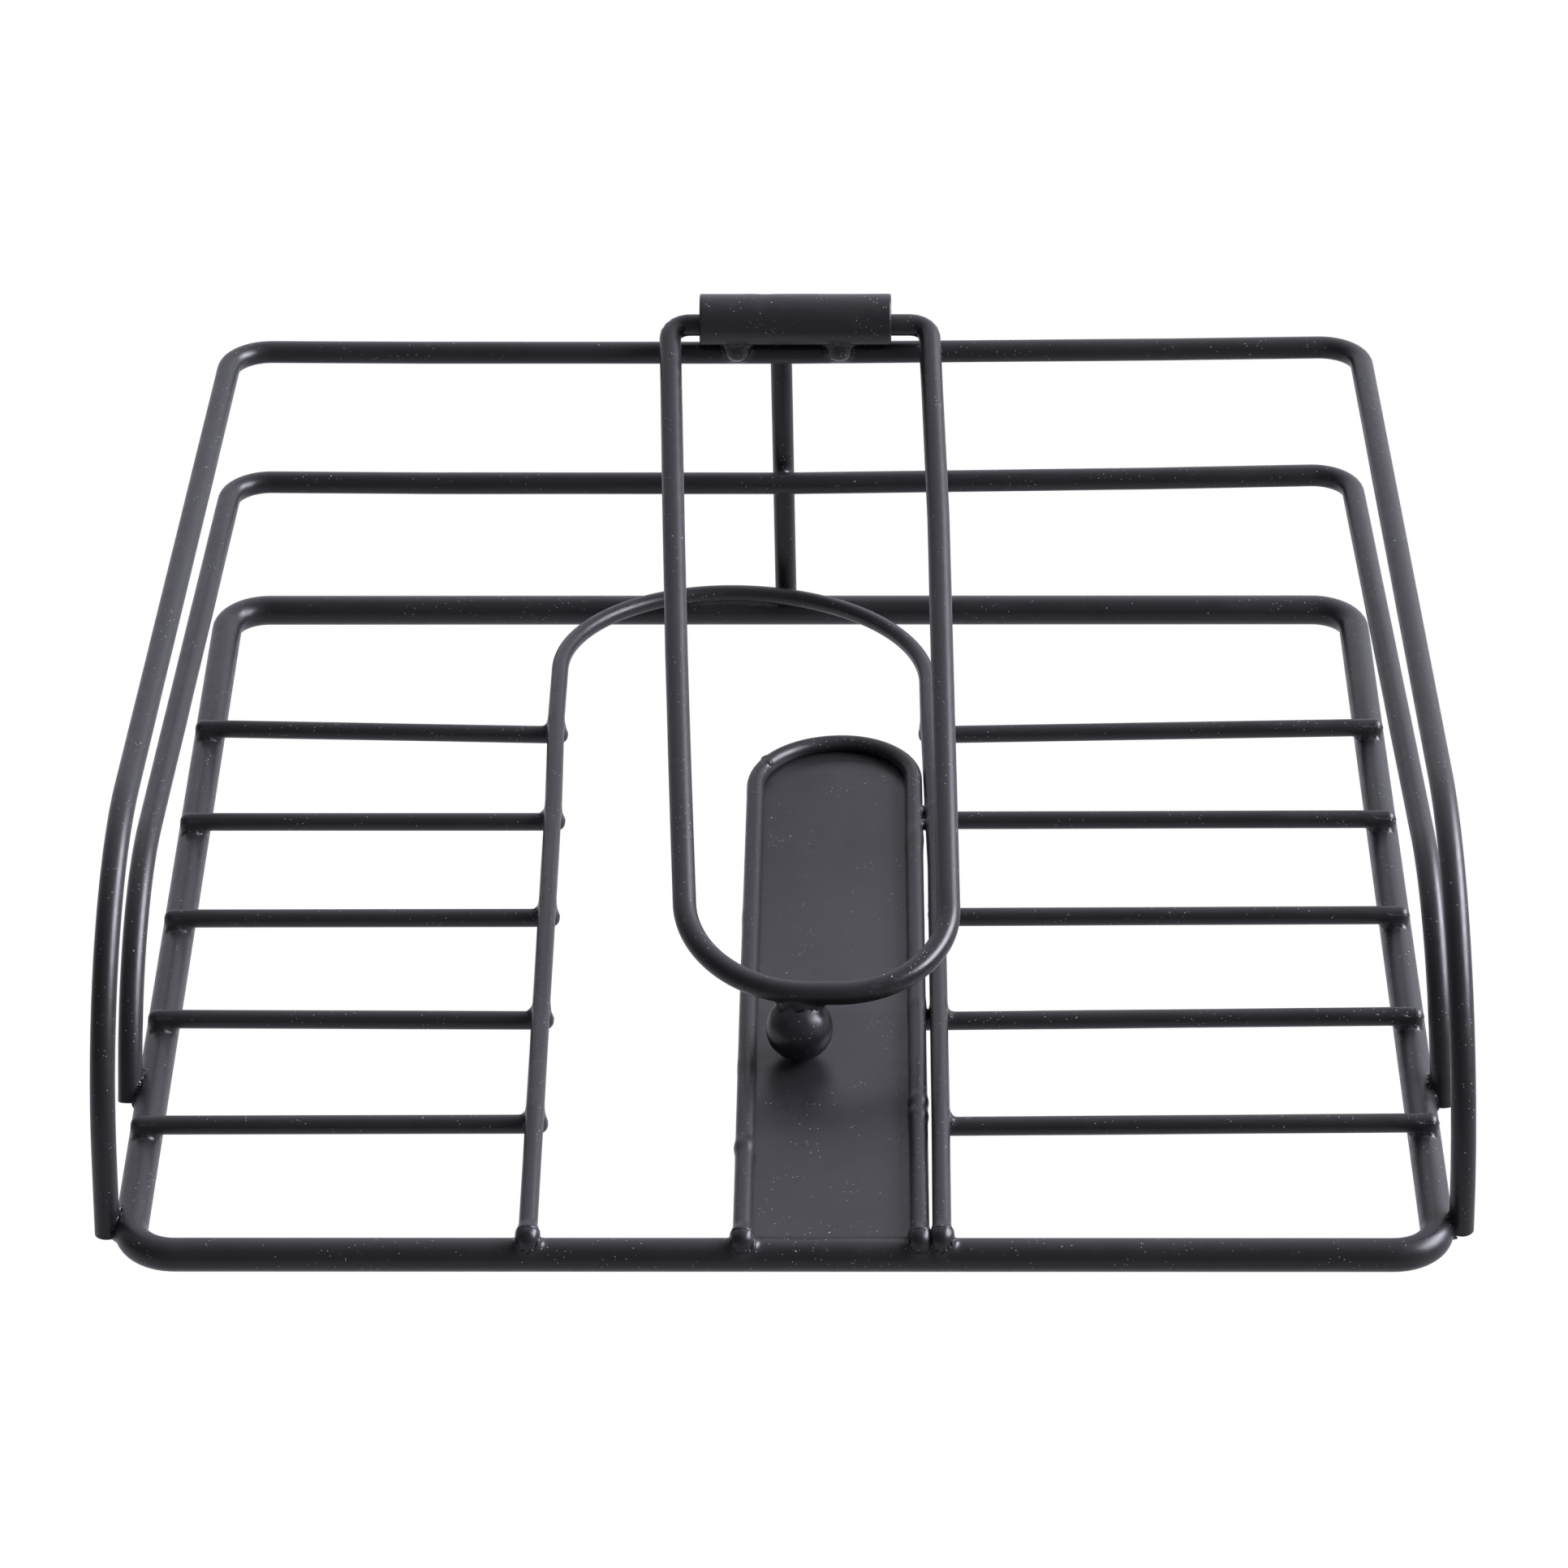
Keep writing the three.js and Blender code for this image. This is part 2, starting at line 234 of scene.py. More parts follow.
# ---- Distance fields ----------------------------------------------------


@dataclass
class Field:
    """A solid given by its distance: a round bar along a line, or a ball on one point."""

    line: Array
    radius: float

    def near(self, place: Array, reach: float) -> "Field":
        """The part of the solid within reach of a place."""
        if len(self.line) == 1:
            return self
        apart = np.linalg.norm(self.line - place, axis=1)
        kept = np.flatnonzero(apart < reach)
        if len(kept) < 2:
            low = max(0, int(np.argmin(apart)) - 1)
            return Field(self.line[low:low + 2], self.radius)
        if kept[-1] - kept[0] + 1 > len(kept) + 2:
            before_gap = int(np.argmax(np.diff(kept)))
            return Field(self.line[np.roll(kept, -before_gap - 1)], self.radius)
        return Field(self.line[kept[0]:kept[-1] + 1], self.radius)

    def closest(self, points: Array) -> Array:
        """The nearest point of the centre line to each of the given points."""
        if len(self.line) == 1:
            return np.broadcast_to(self.line[0], points.shape)
        start, stretch = self.line[:-1], np.diff(self.line, axis=0)
        offset = points[:, None, :] - start[None, :, :]
        share = (offset * stretch).sum(-1) / np.maximum((stretch * stretch).sum(-1), 1e-12)
        share = np.clip(share, 0.0, 1.0)
        feet = start + share[..., None] * stretch
        pick = np.argmin(((points[:, None, :] - feet) ** 2).sum(-1), axis=1)
        return feet[np.arange(len(points)), pick]

    def distance(self, points: Array) -> Array:
        """Distance from each point to the solid's surface, negative inside."""
        return np.linalg.norm(points - self.closest(points), axis=1) - self.radius

    def moved_out(self, points: Array) -> Array:
        """The points, with those inside the solid moved straight out to its surface."""
        feet = self.closest(points)
        apart = np.linalg.norm(points - feet, axis=1, keepdims=True)
        return feet + (points - feet) * np.maximum(self.radius / np.maximum(apart, 1e-9), 1.0)


def smooth_union(first: Array, second: Array, blend: float) -> tuple[Array, Array]:
    """Distance to two solids joined by a fillet.

    It is the smaller distance, less a quarter of the blend times the square of how evenly
    near the two solids are, which is 1 where they are equally near.

    Args:
        first: distances to one solid.
        second: distances to the other.
        blend: difference in distance beyond which nothing is filled.

    Returns:
        The distances to the joined solid, and how deep in the fillet each point is.
    """
    even_share = np.clip(1.0 - np.abs(first - second) / blend, 0.0, 1.0)
    return np.minimum(first, second) - blend * even_share**2 / 4.0, even_share


@dataclass
class Weld:
    """One weld: where it is, how far it fills, and how lumpy it came out."""

    place: Array
    blend: float
    lump: float = 0.0
    grain: float = 1.1

    def swell(self, points: Array, normals: Array, other: Field) -> tuple[Array, Array]:
        """Pushes a skin out onto the smooth surface round two solids.

        Each point moves straight out along its normal, by the distance that is still
        missing, until it lies on the joined surface. Its distance to its own solid is how
        far it has moved. Points that start inside the other solid stay there, out of sight.

        Args:
            points: points of the skin, in mm.
            normals: the skin's outward normals.
            other: the solid that it is welded to.

        Returns:
            How far each point moves, and how much it belongs to the weld, from 0 to 1.
        """
        reach = 2.0 * other.radius + 4.0 * self.blend
        chosen = np.flatnonzero(np.linalg.norm(points - self.place, axis=1) < reach)
        pushes, amount = np.zeros(len(points)), np.zeros(len(points))
        if not len(chosen):
            return pushes, amount
        here, outward = points[chosen], normals[chosen]
        theirs = other.near(self.place, reach + other.radius + 2.0)
        hidden = theirs.distance(here) < -HIDDEN_DEPTH
        travel, share = np.zeros(len(here)), np.zeros(len(here))
        for _ in range(PUSH_STEPS):
            now = here + outward * travel[:, None]
            joined, share = smooth_union(travel, theirs.distance(now), self.blend)
            if self.lump:
                texture = ripple(now, self.grain, int(abs(self.place).sum() * 10.0))
                joined = joined - self.lump * share**2 * texture
            travel = np.clip(travel - joined, -self.lump, 1.5 * self.blend)
        pushes[chosen] = np.where(hidden, 0.0, travel)
        amount[chosen] = np.where(hidden, 1.0, share)
        return pushes, amount


# ---- Finishes -----------------------------------------------------------


class Links:
    """A short way to add shader nodes and join them."""

    def __init__(self, owner: Material | bpy.types.World) -> None:
        """Clears the nodes of a material or a world, ready for new ones."""
        owner.use_nodes = True
        self.tree = owner.node_tree
        self.tree.nodes.clear()

    def add(self, kind: str, inputs: dict[str | int, object], **settings: object) -> bpy.types.Node:
        """Adds one node.

        Args:
            kind: the node's type, without the "ShaderNode" that all of them share.
            inputs: for each input, a plain value or the output socket that feeds it.
            settings: the node's own properties.

        Returns:
            The new node.
        """
        node = self.tree.nodes.new("ShaderNode" + kind)
        for name, value in settings.items():
            setattr(node, name, value)
        for key, value in inputs.items():
            if isinstance(value, Socket):
                self.tree.links.new(value, node.inputs[key])
            else:
                node.inputs[key].default_value = value
        return node

    def noise(self, place: Socket, size: float, detail: float = 2.0) -> Socket:
        """Noise whose patches are about size millimetres wide."""
        node = self.add("TexNoise", {"Vector": place, "Scale": 1.0 / (size * MM), "Detail": detail})
        return node.outputs["Fac"]

    def band(self, value: Socket, low: float, high: float,
             bottom: float = 0.0, top: float = 1.0) -> Socket:
        """Maps low to high onto bottom to top, smoothly."""
        node = self.add("MapRange", {"Value": value, "From Min": low, "From Max": high,
                                     "To Min": bottom, "To Max": top},
                        interpolation_type="SMOOTHSTEP")
        return node.outputs["Result"]

    def math(self, operation: str, first: object, second: object = 0.0) -> Socket:
        """One arithmetic step on two numbers."""
        return self.add("Math", {0: first, 1: second}, operation=operation).outputs[0]

    def blend(self, share: object, first: object, second: object) -> Socket:
        """Mixes two colours."""
        node = self.add("MixRGB", {"Fac": share, "Color1": first, "Color2": second})
        return node.outputs["Color"]


@dataclass(frozen=True)
class Specks:
    """One kind of speck: mean spacing, largest radius and width of the patches, all in
    mm, and the share of the surface where they gather."""

    cell: float
    size: float
    patches: float
    amount: float


@dataclass(frozen=True)
class PowderCoat:
    """Satin black powder coat: faint orange peel, fine grain, dust, and rubbed places.

    Every size is the width of a pattern's patches in mm, and every depth is a height.
    """

    name: str
    tone: tuple[float, float, float] = (0.0125, 0.0122, 0.0138)
    roughness: float = 0.37
    peel: float = 0.10
    dust: float = 1.0
    dust_tone: tuple[float, float, float] = (0.34, 0.36, 0.37)
    rub_tone: tuple[float, float, float] = (0.03, 0.03, 0.034)
    grains: Specks = Specks(2.1, 0.13, 9.0, 0.6)
    fines: Specks = Specks(0.7, 0.08, 6.0, 0.75)
    cloud_size: float = 14.0
    scratch_size: float = 0.5
    mottle_size: float = 2.2
    mottle: float = 0.035
    peel_size: float = 0.9
    grain_size: float = 0.16
    grain_depth: float = 0.16
    dust_depth: float = 0.8
    scratch_depth: float = 0.12
    weld_polish: float = 0.03
    rub_polish: float = 0.12
    dust_roughness: float = 0.3
    bump_distance: float = 0.12

    def specks(self, links: Links, place: Socket, kind: Specks) -> Socket:
        """Scattered specks, thicker in some patches.

        A speck is the inside of a small ball round each random point, so the surface cuts
        only a few of them, at random sizes.

        Args:
            links: the material being made.
            place: object coordinates.
            kind: the specks' sizes.

        Returns:
            1 on a speck and 0 off it.
        """
        amount = kind.amount * self.dust
        voronoi = links.add("TexVoronoi", {"Vector": place, "Scale": 1.0 / (kind.cell * MM)})
        gather = links.band(links.noise(place, kind.patches), 0.62 - 0.3 * amount, 0.72 - 0.2 * amount)
        limit = links.math("MULTIPLY", gather, kind.size / kind.cell)
        return links.band(links.math("SUBTRACT", limit, voronoi.outputs["Distance"]), 0.0, 0.02)

    def build(self) -> Material:
        """Makes the material.

        Returns:
            The material. It reads object coordinates and the pieces' "weld" and "rub"
            attributes.
        """
        material = bpy.data.materials.new(self.name)
        links = Links(material)
        place = links.add("TexCoord", {}).outputs["Object"]
        weld = links.add("Attribute", {}, attribute_name="weld").outputs["Fac"]
        rub = links.add("Attribute", {}, attribute_name="rub").outputs["Fac"]

        cloud = links.noise(place, self.cloud_size)
        colour = links.blend(links.band(cloud, 0.3, 0.7), (*(0.9 * t for t in self.tone), 1.0),
                             (*(1.12 * t for t in self.tone), 1.0))
        scratch_place = links.add("Mapping", {"Vector": place, "Rotation": (0.0, 0.0, 0.7),
                                              "Scale": (0.25, 3.2, 1.0)}).outputs["Vector"]
        scratches = links.band(links.noise(scratch_place, self.scratch_size, 3.0), 0.56, 0.64)
        worn = links.math("MULTIPLY", rub, scratches)
        colour = links.blend(worn, colour, (*self.rub_tone, 1.0))
        lint = links.math("MAXIMUM", self.specks(links, place, self.grains),
                          self.specks(links, place, self.fines))
        colour = links.blend(lint, colour, (*self.dust_tone, 1.0))

        rough = links.band(links.noise(place, self.mottle_size), 0.25, 0.75,
                           self.roughness - self.mottle, self.roughness + self.mottle)
        for amount, change in ((weld, -self.weld_polish), (rub, -self.rub_polish),
                               (lint, self.dust_roughness)):
            rough = links.math("ADD", rough, links.math("MULTIPLY", amount, change))

        height = links.noise(place, self.peel_size, 1.0)
        for amount, depth in ((links.noise(place, self.grain_size), self.grain_depth),
                              (lint, self.dust_depth), (worn, -self.scratch_depth)):
            height = links.math("ADD", height, links.math("MULTIPLY", amount, depth))
        bump = links.add("Bump", {"Height": height, "Strength": self.peel,
                                  "Distance": self.bump_distance * MM})

        shader = links.add("BsdfPrincipled", {"Base Color": colour, "Roughness": rough,
                                              "Normal": bump.outputs["Normal"], "IOR": 1.5,
                                              "Specular IOR Level": 0.5})
        links.add("OutputMaterial", {"Surface": shader.outputs["BSDF"]})
        return material


@dataclass(frozen=True)
class Finishes:
    """The object's finishes."""

    wire: Material
    plate: Material

    @classmethod
    def make(cls) -> "Finishes":
        """Makes every finish once."""
        return cls(
            wire=PowderCoat("wire_coat").build(),
            plate=PowderCoat("plate_coat", tone=(0.0165, 0.0165, 0.0183), roughness=0.32,
                             peel=0.06, dust=0.7).build(),
        )


# ---- Meshes -------------------------------------------------------------


def grid_faces(rows: int, columns: int, wrap_rows: bool) -> Array:
    """Quads of a grid whose columns run round a ring.

    Args:
        rows: number of rings.
        columns: points on each ring.
        wrap_rows: whether the last ring joins the first.

    Returns:
        Four vertex numbers for each quad, numbered row by row.
    """
    row = np.arange(rows if wrap_rows else rows - 1)
    column = np.arange(columns)
    here, beside = row[:, None] * columns, ((row + 1) % rows)[:, None] * columns
    turn = (column + 1) % columns
    quads = np.stack([here + column, here + turn, beside + turn, beside + column], axis=-1)
    return quads.reshape(-1, 4)


def grid_normals(points: Array, outward: Array, wrap_rows: bool) -> Array:
    """Unit normals of a grid of points.

    The normal is the cross product of the slopes along the rows and along the columns,
    turned to the side that the rough outward direction is on.

    Args:
        points: the grid, as rows by columns by 3.
        outward: a rough outward direction at each point.
        wrap_rows: whether the last ring joins the first.

    Returns:
        The normals, in the grid's own shape.
    """
    along_ring = np.roll(points, -1, axis=1) - np.roll(points, 1, axis=1)
    if wrap_rows:
        across = np.roll(points, -1, axis=0) - np.roll(points, 1, axis=0)
    else:
        across = np.gradient(points, axis=0)
    normals = unit(np.cross(along_ring, across))
    side = np.sign((normals * outward).sum(-1, keepdims=True))
    return normals * np.where(side == 0.0, 1.0, side)


def ball_rings(latitude: Array, columns: int) -> Array:
    """Directions on rings of a ball, by their angle from the pole, one row each."""
    longitude = turns(columns)
    across, up = np.sin(latitude)[:, None], np.cos(latitude)[:, None]
    rings = [across * np.cos(longitude), across * np.sin(longitude), up + 0.0 * longitude]
    return np.stack(rings, axis=-1).reshape(-1, 3)


def pushed_out(points: Array, normals: Array, welds: list) -> tuple[Array, Array]:
    """A skin pushed out at every weld, each point by the largest of its pushes.

    Args:
        points: points of the skin, in mm.
        normals: its outward normals.
        welds: pairs of a weld and the solid on its other side.

    Returns:
        The moved points, and how much each belongs to a weld, from 0 to 1.
    """
    furthest, weld = np.zeros(len(points)), np.zeros(len(points))
    for joint, other in welds:
        push, amount = joint.swell(points, normals, other)
        furthest = np.where(np.abs(push) > np.abs(furthest), push, furthest)
        weld = np.maximum(weld, amount)
    return points + normals * furthest[:, None], weld


def fan_faces(centre: int, ring: Array, flip: bool) -> Array:
    """Triangles from one point to a ring."""
    after = np.roll(ring, -1)
    hub = np.full(len(ring), centre)
    order = (hub, after, ring) if flip else (hub, ring, after)
    return np.stack(order, axis=1)


@dataclass
class Room:
    """The box that the object's solids fill, in mm. Skins stay inside it."""

    low: Array = field(default_factory=lambda: np.full(3, -np.inf))
    high: Array = field(default_factory=lambda: np.full(3, np.inf))


ROOM = Room()
NO_TRIANGLES = np.zeros((0, 3), int)


def linked(name: str, data: bpy.types.ID) -> Object:
    """A new object with the given data, linked to the scene."""
    thing = bpy.data.objects.new(name, data)
    bpy.context.scene.collection.objects.link(thing)
    return thing


def to_object(name: str, points: Array, quads: Array, triangles: Array = NO_TRIANGLES,
              weld: Array | float = 0.0, rub: Array | float = 0.0) -> Object:
    """Makes an object from points in millimetres.

    Args:
        name: name of the object.
        points: vertices, in mm, in the frame's own axes.
        quads: four vertex numbers a row.
        triangles: three vertex numbers a row.
        weld: how much each vertex belongs to a weld, from 0 to 1.
        rub: how worn each vertex is, from 0 to 1.

    Returns:
        The object, smooth shaded and linked to the scene.
    """
    mesh = bpy.data.meshes.new(name)
    mesh.vertices.add(len(points))
    points = np.clip(points, ROOM.low, ROOM.high)
    mesh.vertices.foreach_set("co", (points * MM).astype(np.float32).ravel())
    corners = np.concatenate([quads.ravel(), triangles.ravel()]).astype(np.int32)
    sizes = np.concatenate([np.full(len(quads), 4), np.full(len(triangles), 3)])
    starts = np.concatenate([[0], np.cumsum(sizes)[:-1]]).astype(np.int32)
    mesh.loops.add(len(corners))
    mesh.loops.foreach_set("vertex_index", corners)
    mesh.polygons.add(len(sizes))
    mesh.polygons.foreach_set("loop_start", starts)
    mesh.update(calc_edges=True)
    mesh.validate()
    mesh.shade_smooth()
    for layer, values in (("weld", weld), ("rub", rub)):
        attribute = mesh.attributes.new(layer, "FLOAT", "POINT")
        attribute.data.foreach_set("value", np.full(len(points), values, np.float32))
    return linked(name, mesh)


# ---- Wires --------------------------------------------------------------


class End(Enum):
    """How a wire's end is finished, as (length of the rounding, depth of the rounding)."""

    DOMED = (0.95, 0.97)
    CUT = (0.16, 0.22)


@dataclass
class Swell:
    """A change of a wire's radius: where along it, how much, and over what length."""

    at: float
    amount: float
    width: float


@dataclass
class Wire:
    """One bent wire."""

    name: str
    node: str
    path: Array
    diameter: float
    closed: bool = False
    first_end: End = End.CUT
    last_end: End = End.CUT
    sides: int = 40
    swells: list[Swell] = field(default_factory=list)
    rubs: list[tuple[Array, float]] = field(default_factory=list)
    welds: list[tuple[Weld, Field]] = field(default_factory=list)
    waver: float = 0.02

    def __post_init__(self) -> None:
        """Keeps the centre line with evenly spaced points."""
        line = np.concatenate([self.path, self.path[:1]]) if self.closed else self.path
        self.line = even(line, LINE_SPACING)
        self.radius = self.diameter / 2.0

    def solid(self) -> Field:
        """The wire as a distance field, drawn in at a domed end by the dome's depth."""
        line = self.line
        if not self.closed:
            length = along(line)[-1]
            depths = [end.value[0] * self.radius if end is End.DOMED else 0.0
                      for end in (self.first_end, self.last_end)]
            line = at_distances(line, np.linspace(depths[0], length - depths[1], len(line)))
        return Field(line, self.radius)

    def roundings(self, distances: Array, length: float) -> Array:
        """Radius along the wire, which falls to the end face along a quarter of an ellipse."""
        radius = np.full_like(distances, self.radius)
        if self.closed:
            return radius
        for end, gone in ((self.first_end, distances), (self.last_end, length - distances)):
            reach, depth = (value * self.radius for value in end.value)
            share = 1.0 - np.clip(gone / reach, 0.0, 1.0)
            radius = np.minimum(radius, self.radius - depth * (1.0 - np.sqrt(1.0 - share**2)))
        return radius

    def places(self, length: float) -> Array:
        """Distances of the rings, crowded at the welds, the swells and the ends."""
        busy = [along(self.line)[int(np.argmin(np.linalg.norm(self.line - w.place, axis=1)))]
                for w, _ in self.welds]
        busy += [swell.at % length for swell in self.swells]
        distances = crowded(length, np.array(busy), FINE_RINGS, COARSE_RINGS, CROWD_REACH)
        if self.closed:
            return distances[:-1]
        steps = 1.0 - np.cos(np.linspace(0.0, math.pi / 2.0, END_RINGS))
        starts = self.first_end.value[0] * self.radius * steps
        stops = length - self.last_end.value[0] * self.radius * steps
        clear = (distances > starts[-1] + RING_CLEARANCE) & (distances < stops[-1] - RING_CLEARANCE)
        return np.unique(np.round(np.concatenate([starts, distances[clear], stops]), 5))

    def build(self) -> Object:
        """Carries a ring of points along the centre line and swells it at the welds.

        A ring's point at angle a is the centre plus the radius times (normal cos a +
        binormal sin a). The normals are one fixed direction, less its part along the
        wire, so the rings never twist.

        Returns:
            The wire's object, with "weld" and "rub" values at its vertices.
        """
        length = along(self.line)[-1]
        distances = self.places(length)
        centres = at_distances(self.line, distances)
        ahead, behind = distances + TANGENT_REACH, distances - TANGENT_REACH
        if self.closed:
            ahead, behind = ahead % length, behind % length
        else:
            ahead, behind = np.minimum(ahead, length), np.maximum(behind, 0.0)
        tangents = unit(at_distances(self.line, ahead) - at_distances(self.line, behind))
        normals = unit(TWIST_REFERENCE - tangents * (tangents @ TWIST_REFERENCE)[:, None])
        binormals = np.cross(tangents, normals)
        radii = self.roundings(distances, length)
        for swell in self.swells:
            apart = distances - swell.at % length
            radii = radii + swell.amount * np.exp(-((apart / swell.width) ** 2))
        angle = turns(self.sides)
        spokes = (normals[:, None, :] * np.cos(angle)[None, :, None]
                  + binormals[:, None, :] * np.sin(angle)[None, :, None])
        points = centres[:, None, :] + radii[:, None, None] * spokes
        outward = spokes
        if not self.closed:
            ends = np.minimum(distances, length - distances)
            lean = np.where(distances < length / 2.0, -1.0, 1.0) * (ends < self.radius)
            outward = spokes + (lean[:, None] * tangents)[:, None, :]
        normals = grid_normals(points, outward, self.closed).reshape(-1, 3)
        points = points.reshape(-1, 3)
        inward = -self.waver * 0.5 * (1.0 + ripple(points, 23.0, len(self.name)))
        points = points + normals * inward[:, None]
        points, weld = pushed_out(points, normals, self.welds)

        rows = len(distances)
        quads = grid_faces(rows, self.sides, self.closed)
        triangles = NO_TRIANGLES
        if not self.closed:
            first, last = len(points), len(points) + 1
            points = np.concatenate([points, centres[:1], centres[-1:]])
            weld = np.concatenate([weld, weld[:1], weld[-1:]])
            ring = np.arange(self.sides)
            triangles = np.concatenate([fan_faces(first, ring, True),
                                        fan_faces(last, ring + (rows - 1) * self.sides, False)])
        return to_object(self.name, points, quads, triangles, weld, self.rubbed(points))

    def rubbed(self, points: Array) -> Array:
        """How worn each point is: a smooth bump round each rubbed place."""
        worn = np.zeros(len(points))
        for place, width in self.rubs:
            apart = np.linalg.norm(points - place, axis=1) / width
            worn = np.maximum(worn, np.exp(-apart**2))
        return worn


def meeting(first: Array, second: Array, near: Array | None = None) -> Array:
    """The place midway between two lines where they come closest.

    Args:
        first: points of one line.
        second: points of the other.
        near: where given, only points not far from it count.

    Returns:
        The place.
    """
    if near is not None:
        first = first[np.linalg.norm(first - near, axis=1) < NOT_FAR]
        second = second[np.linalg.norm(second - near, axis=1) < NOT_FAR]
    apart = np.linalg.norm(first[:, None, :] - second[None, :, :], axis=2)
    i, j = np.unravel_index(int(np.argmin(apart)), apart.shape)
    return (first[i] + second[j]) / 2.0


def weld_wires(first: Wire, second: Wire, kind: tuple[float, float],
               near: Array | None = None) -> None:
    """Welds two wires where they meet: each then swells towards the other."""
    joint = Weld(meeting(first.line, second.line, near), *kind)
    first.welds.append((joint, second.solid()))
    second.welds.append((joint, first.solid()))


@dataclass
class Bead:
    """A ball with an uneven skin: a lump of weld metal, or the ball weight."""

    name: str
    place: Array
    radius: float
    coarse: tuple[float, float] = (0.08, 3.0)
    fine: tuple[float, float] = (0.03, 1.2)
    rows: int = 40
    polish: float = 0.0
    keep_out: Field | None = None
    welds: list[tuple[Weld, Field]] = field(default_factory=list)

    def solid(self) -> Field:
        """The bead as a distance field."""
        return Field(self.place[None, :], self.radius)

    def build(self) -> Object:
        """A ball on a grid of latitude and longitude, with its poles closed.

        Its radius dips by two ripples, each given as its depth and its wavelength.

        Returns:
            The bead's object.
        """
        columns = self.rows * 4 // 3
        latitude = np.linspace(0.0, math.pi, self.rows + 2)[1:-1]
        spokes = np.concatenate([ball_rings(latitude, columns), [UP], [-UP]])
        points = self.place + spokes * self.radius
        seed = int(abs(self.place).sum() * 7.0)
        dips = sum(depth * (ripple(points, length, seed + k) - 1.0) / 2.0
                   for k, (depth, length) in enumerate((self.coarse, self.fine)))
        points, weld = pushed_out(points + spokes * dips[:, None], spokes, self.welds)
        if self.keep_out is not None:
            points = self.keep_out.moved_out(points)
        quads = grid_faces(self.rows, columns, False)[:, ::-1]
        top, bottom = self.rows * columns, self.rows * columns + 1
        last = np.arange(columns) + (self.rows - 1) * columns
        triangles = np.concatenate([fan_faces(top, np.arange(columns), False),
                                    fan_faces(bottom, last, True)])
        return to_object(self.name, points, quads, triangles, weld, self.polish)


def weld_bead(name: str, place: Array, radius: float, blend: float,
              wires: tuple[Wire | Hinge, ...]) -> Bead:
    """A bead of weld, run smoothly into each of the wires that it touches."""
    bead = Bead(name, place, radius)
    joint = Weld(place, blend, BEAD_LUMP)
    for wire in wires:
        wire.welds.append((joint, bead.solid()))
        bead.welds.append((joint, wire.solid()))
    return bead


# ---- The holder ---------------------------------------------------------


@dataclass
class Frame:
    """Where the drawing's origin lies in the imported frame."""

    middle_back: float

    def point(self, x: float, back: float, height: float) -> Array:
        """A place given by X, distance back and height, in the frame's axes."""
        return np.array([x, back - self.middle_back, height])

    def points(self, rows: list[tuple[float, float, float]]) -> Array:
        """Several such places."""
        return np.array([self.point(*row) for row in rows])


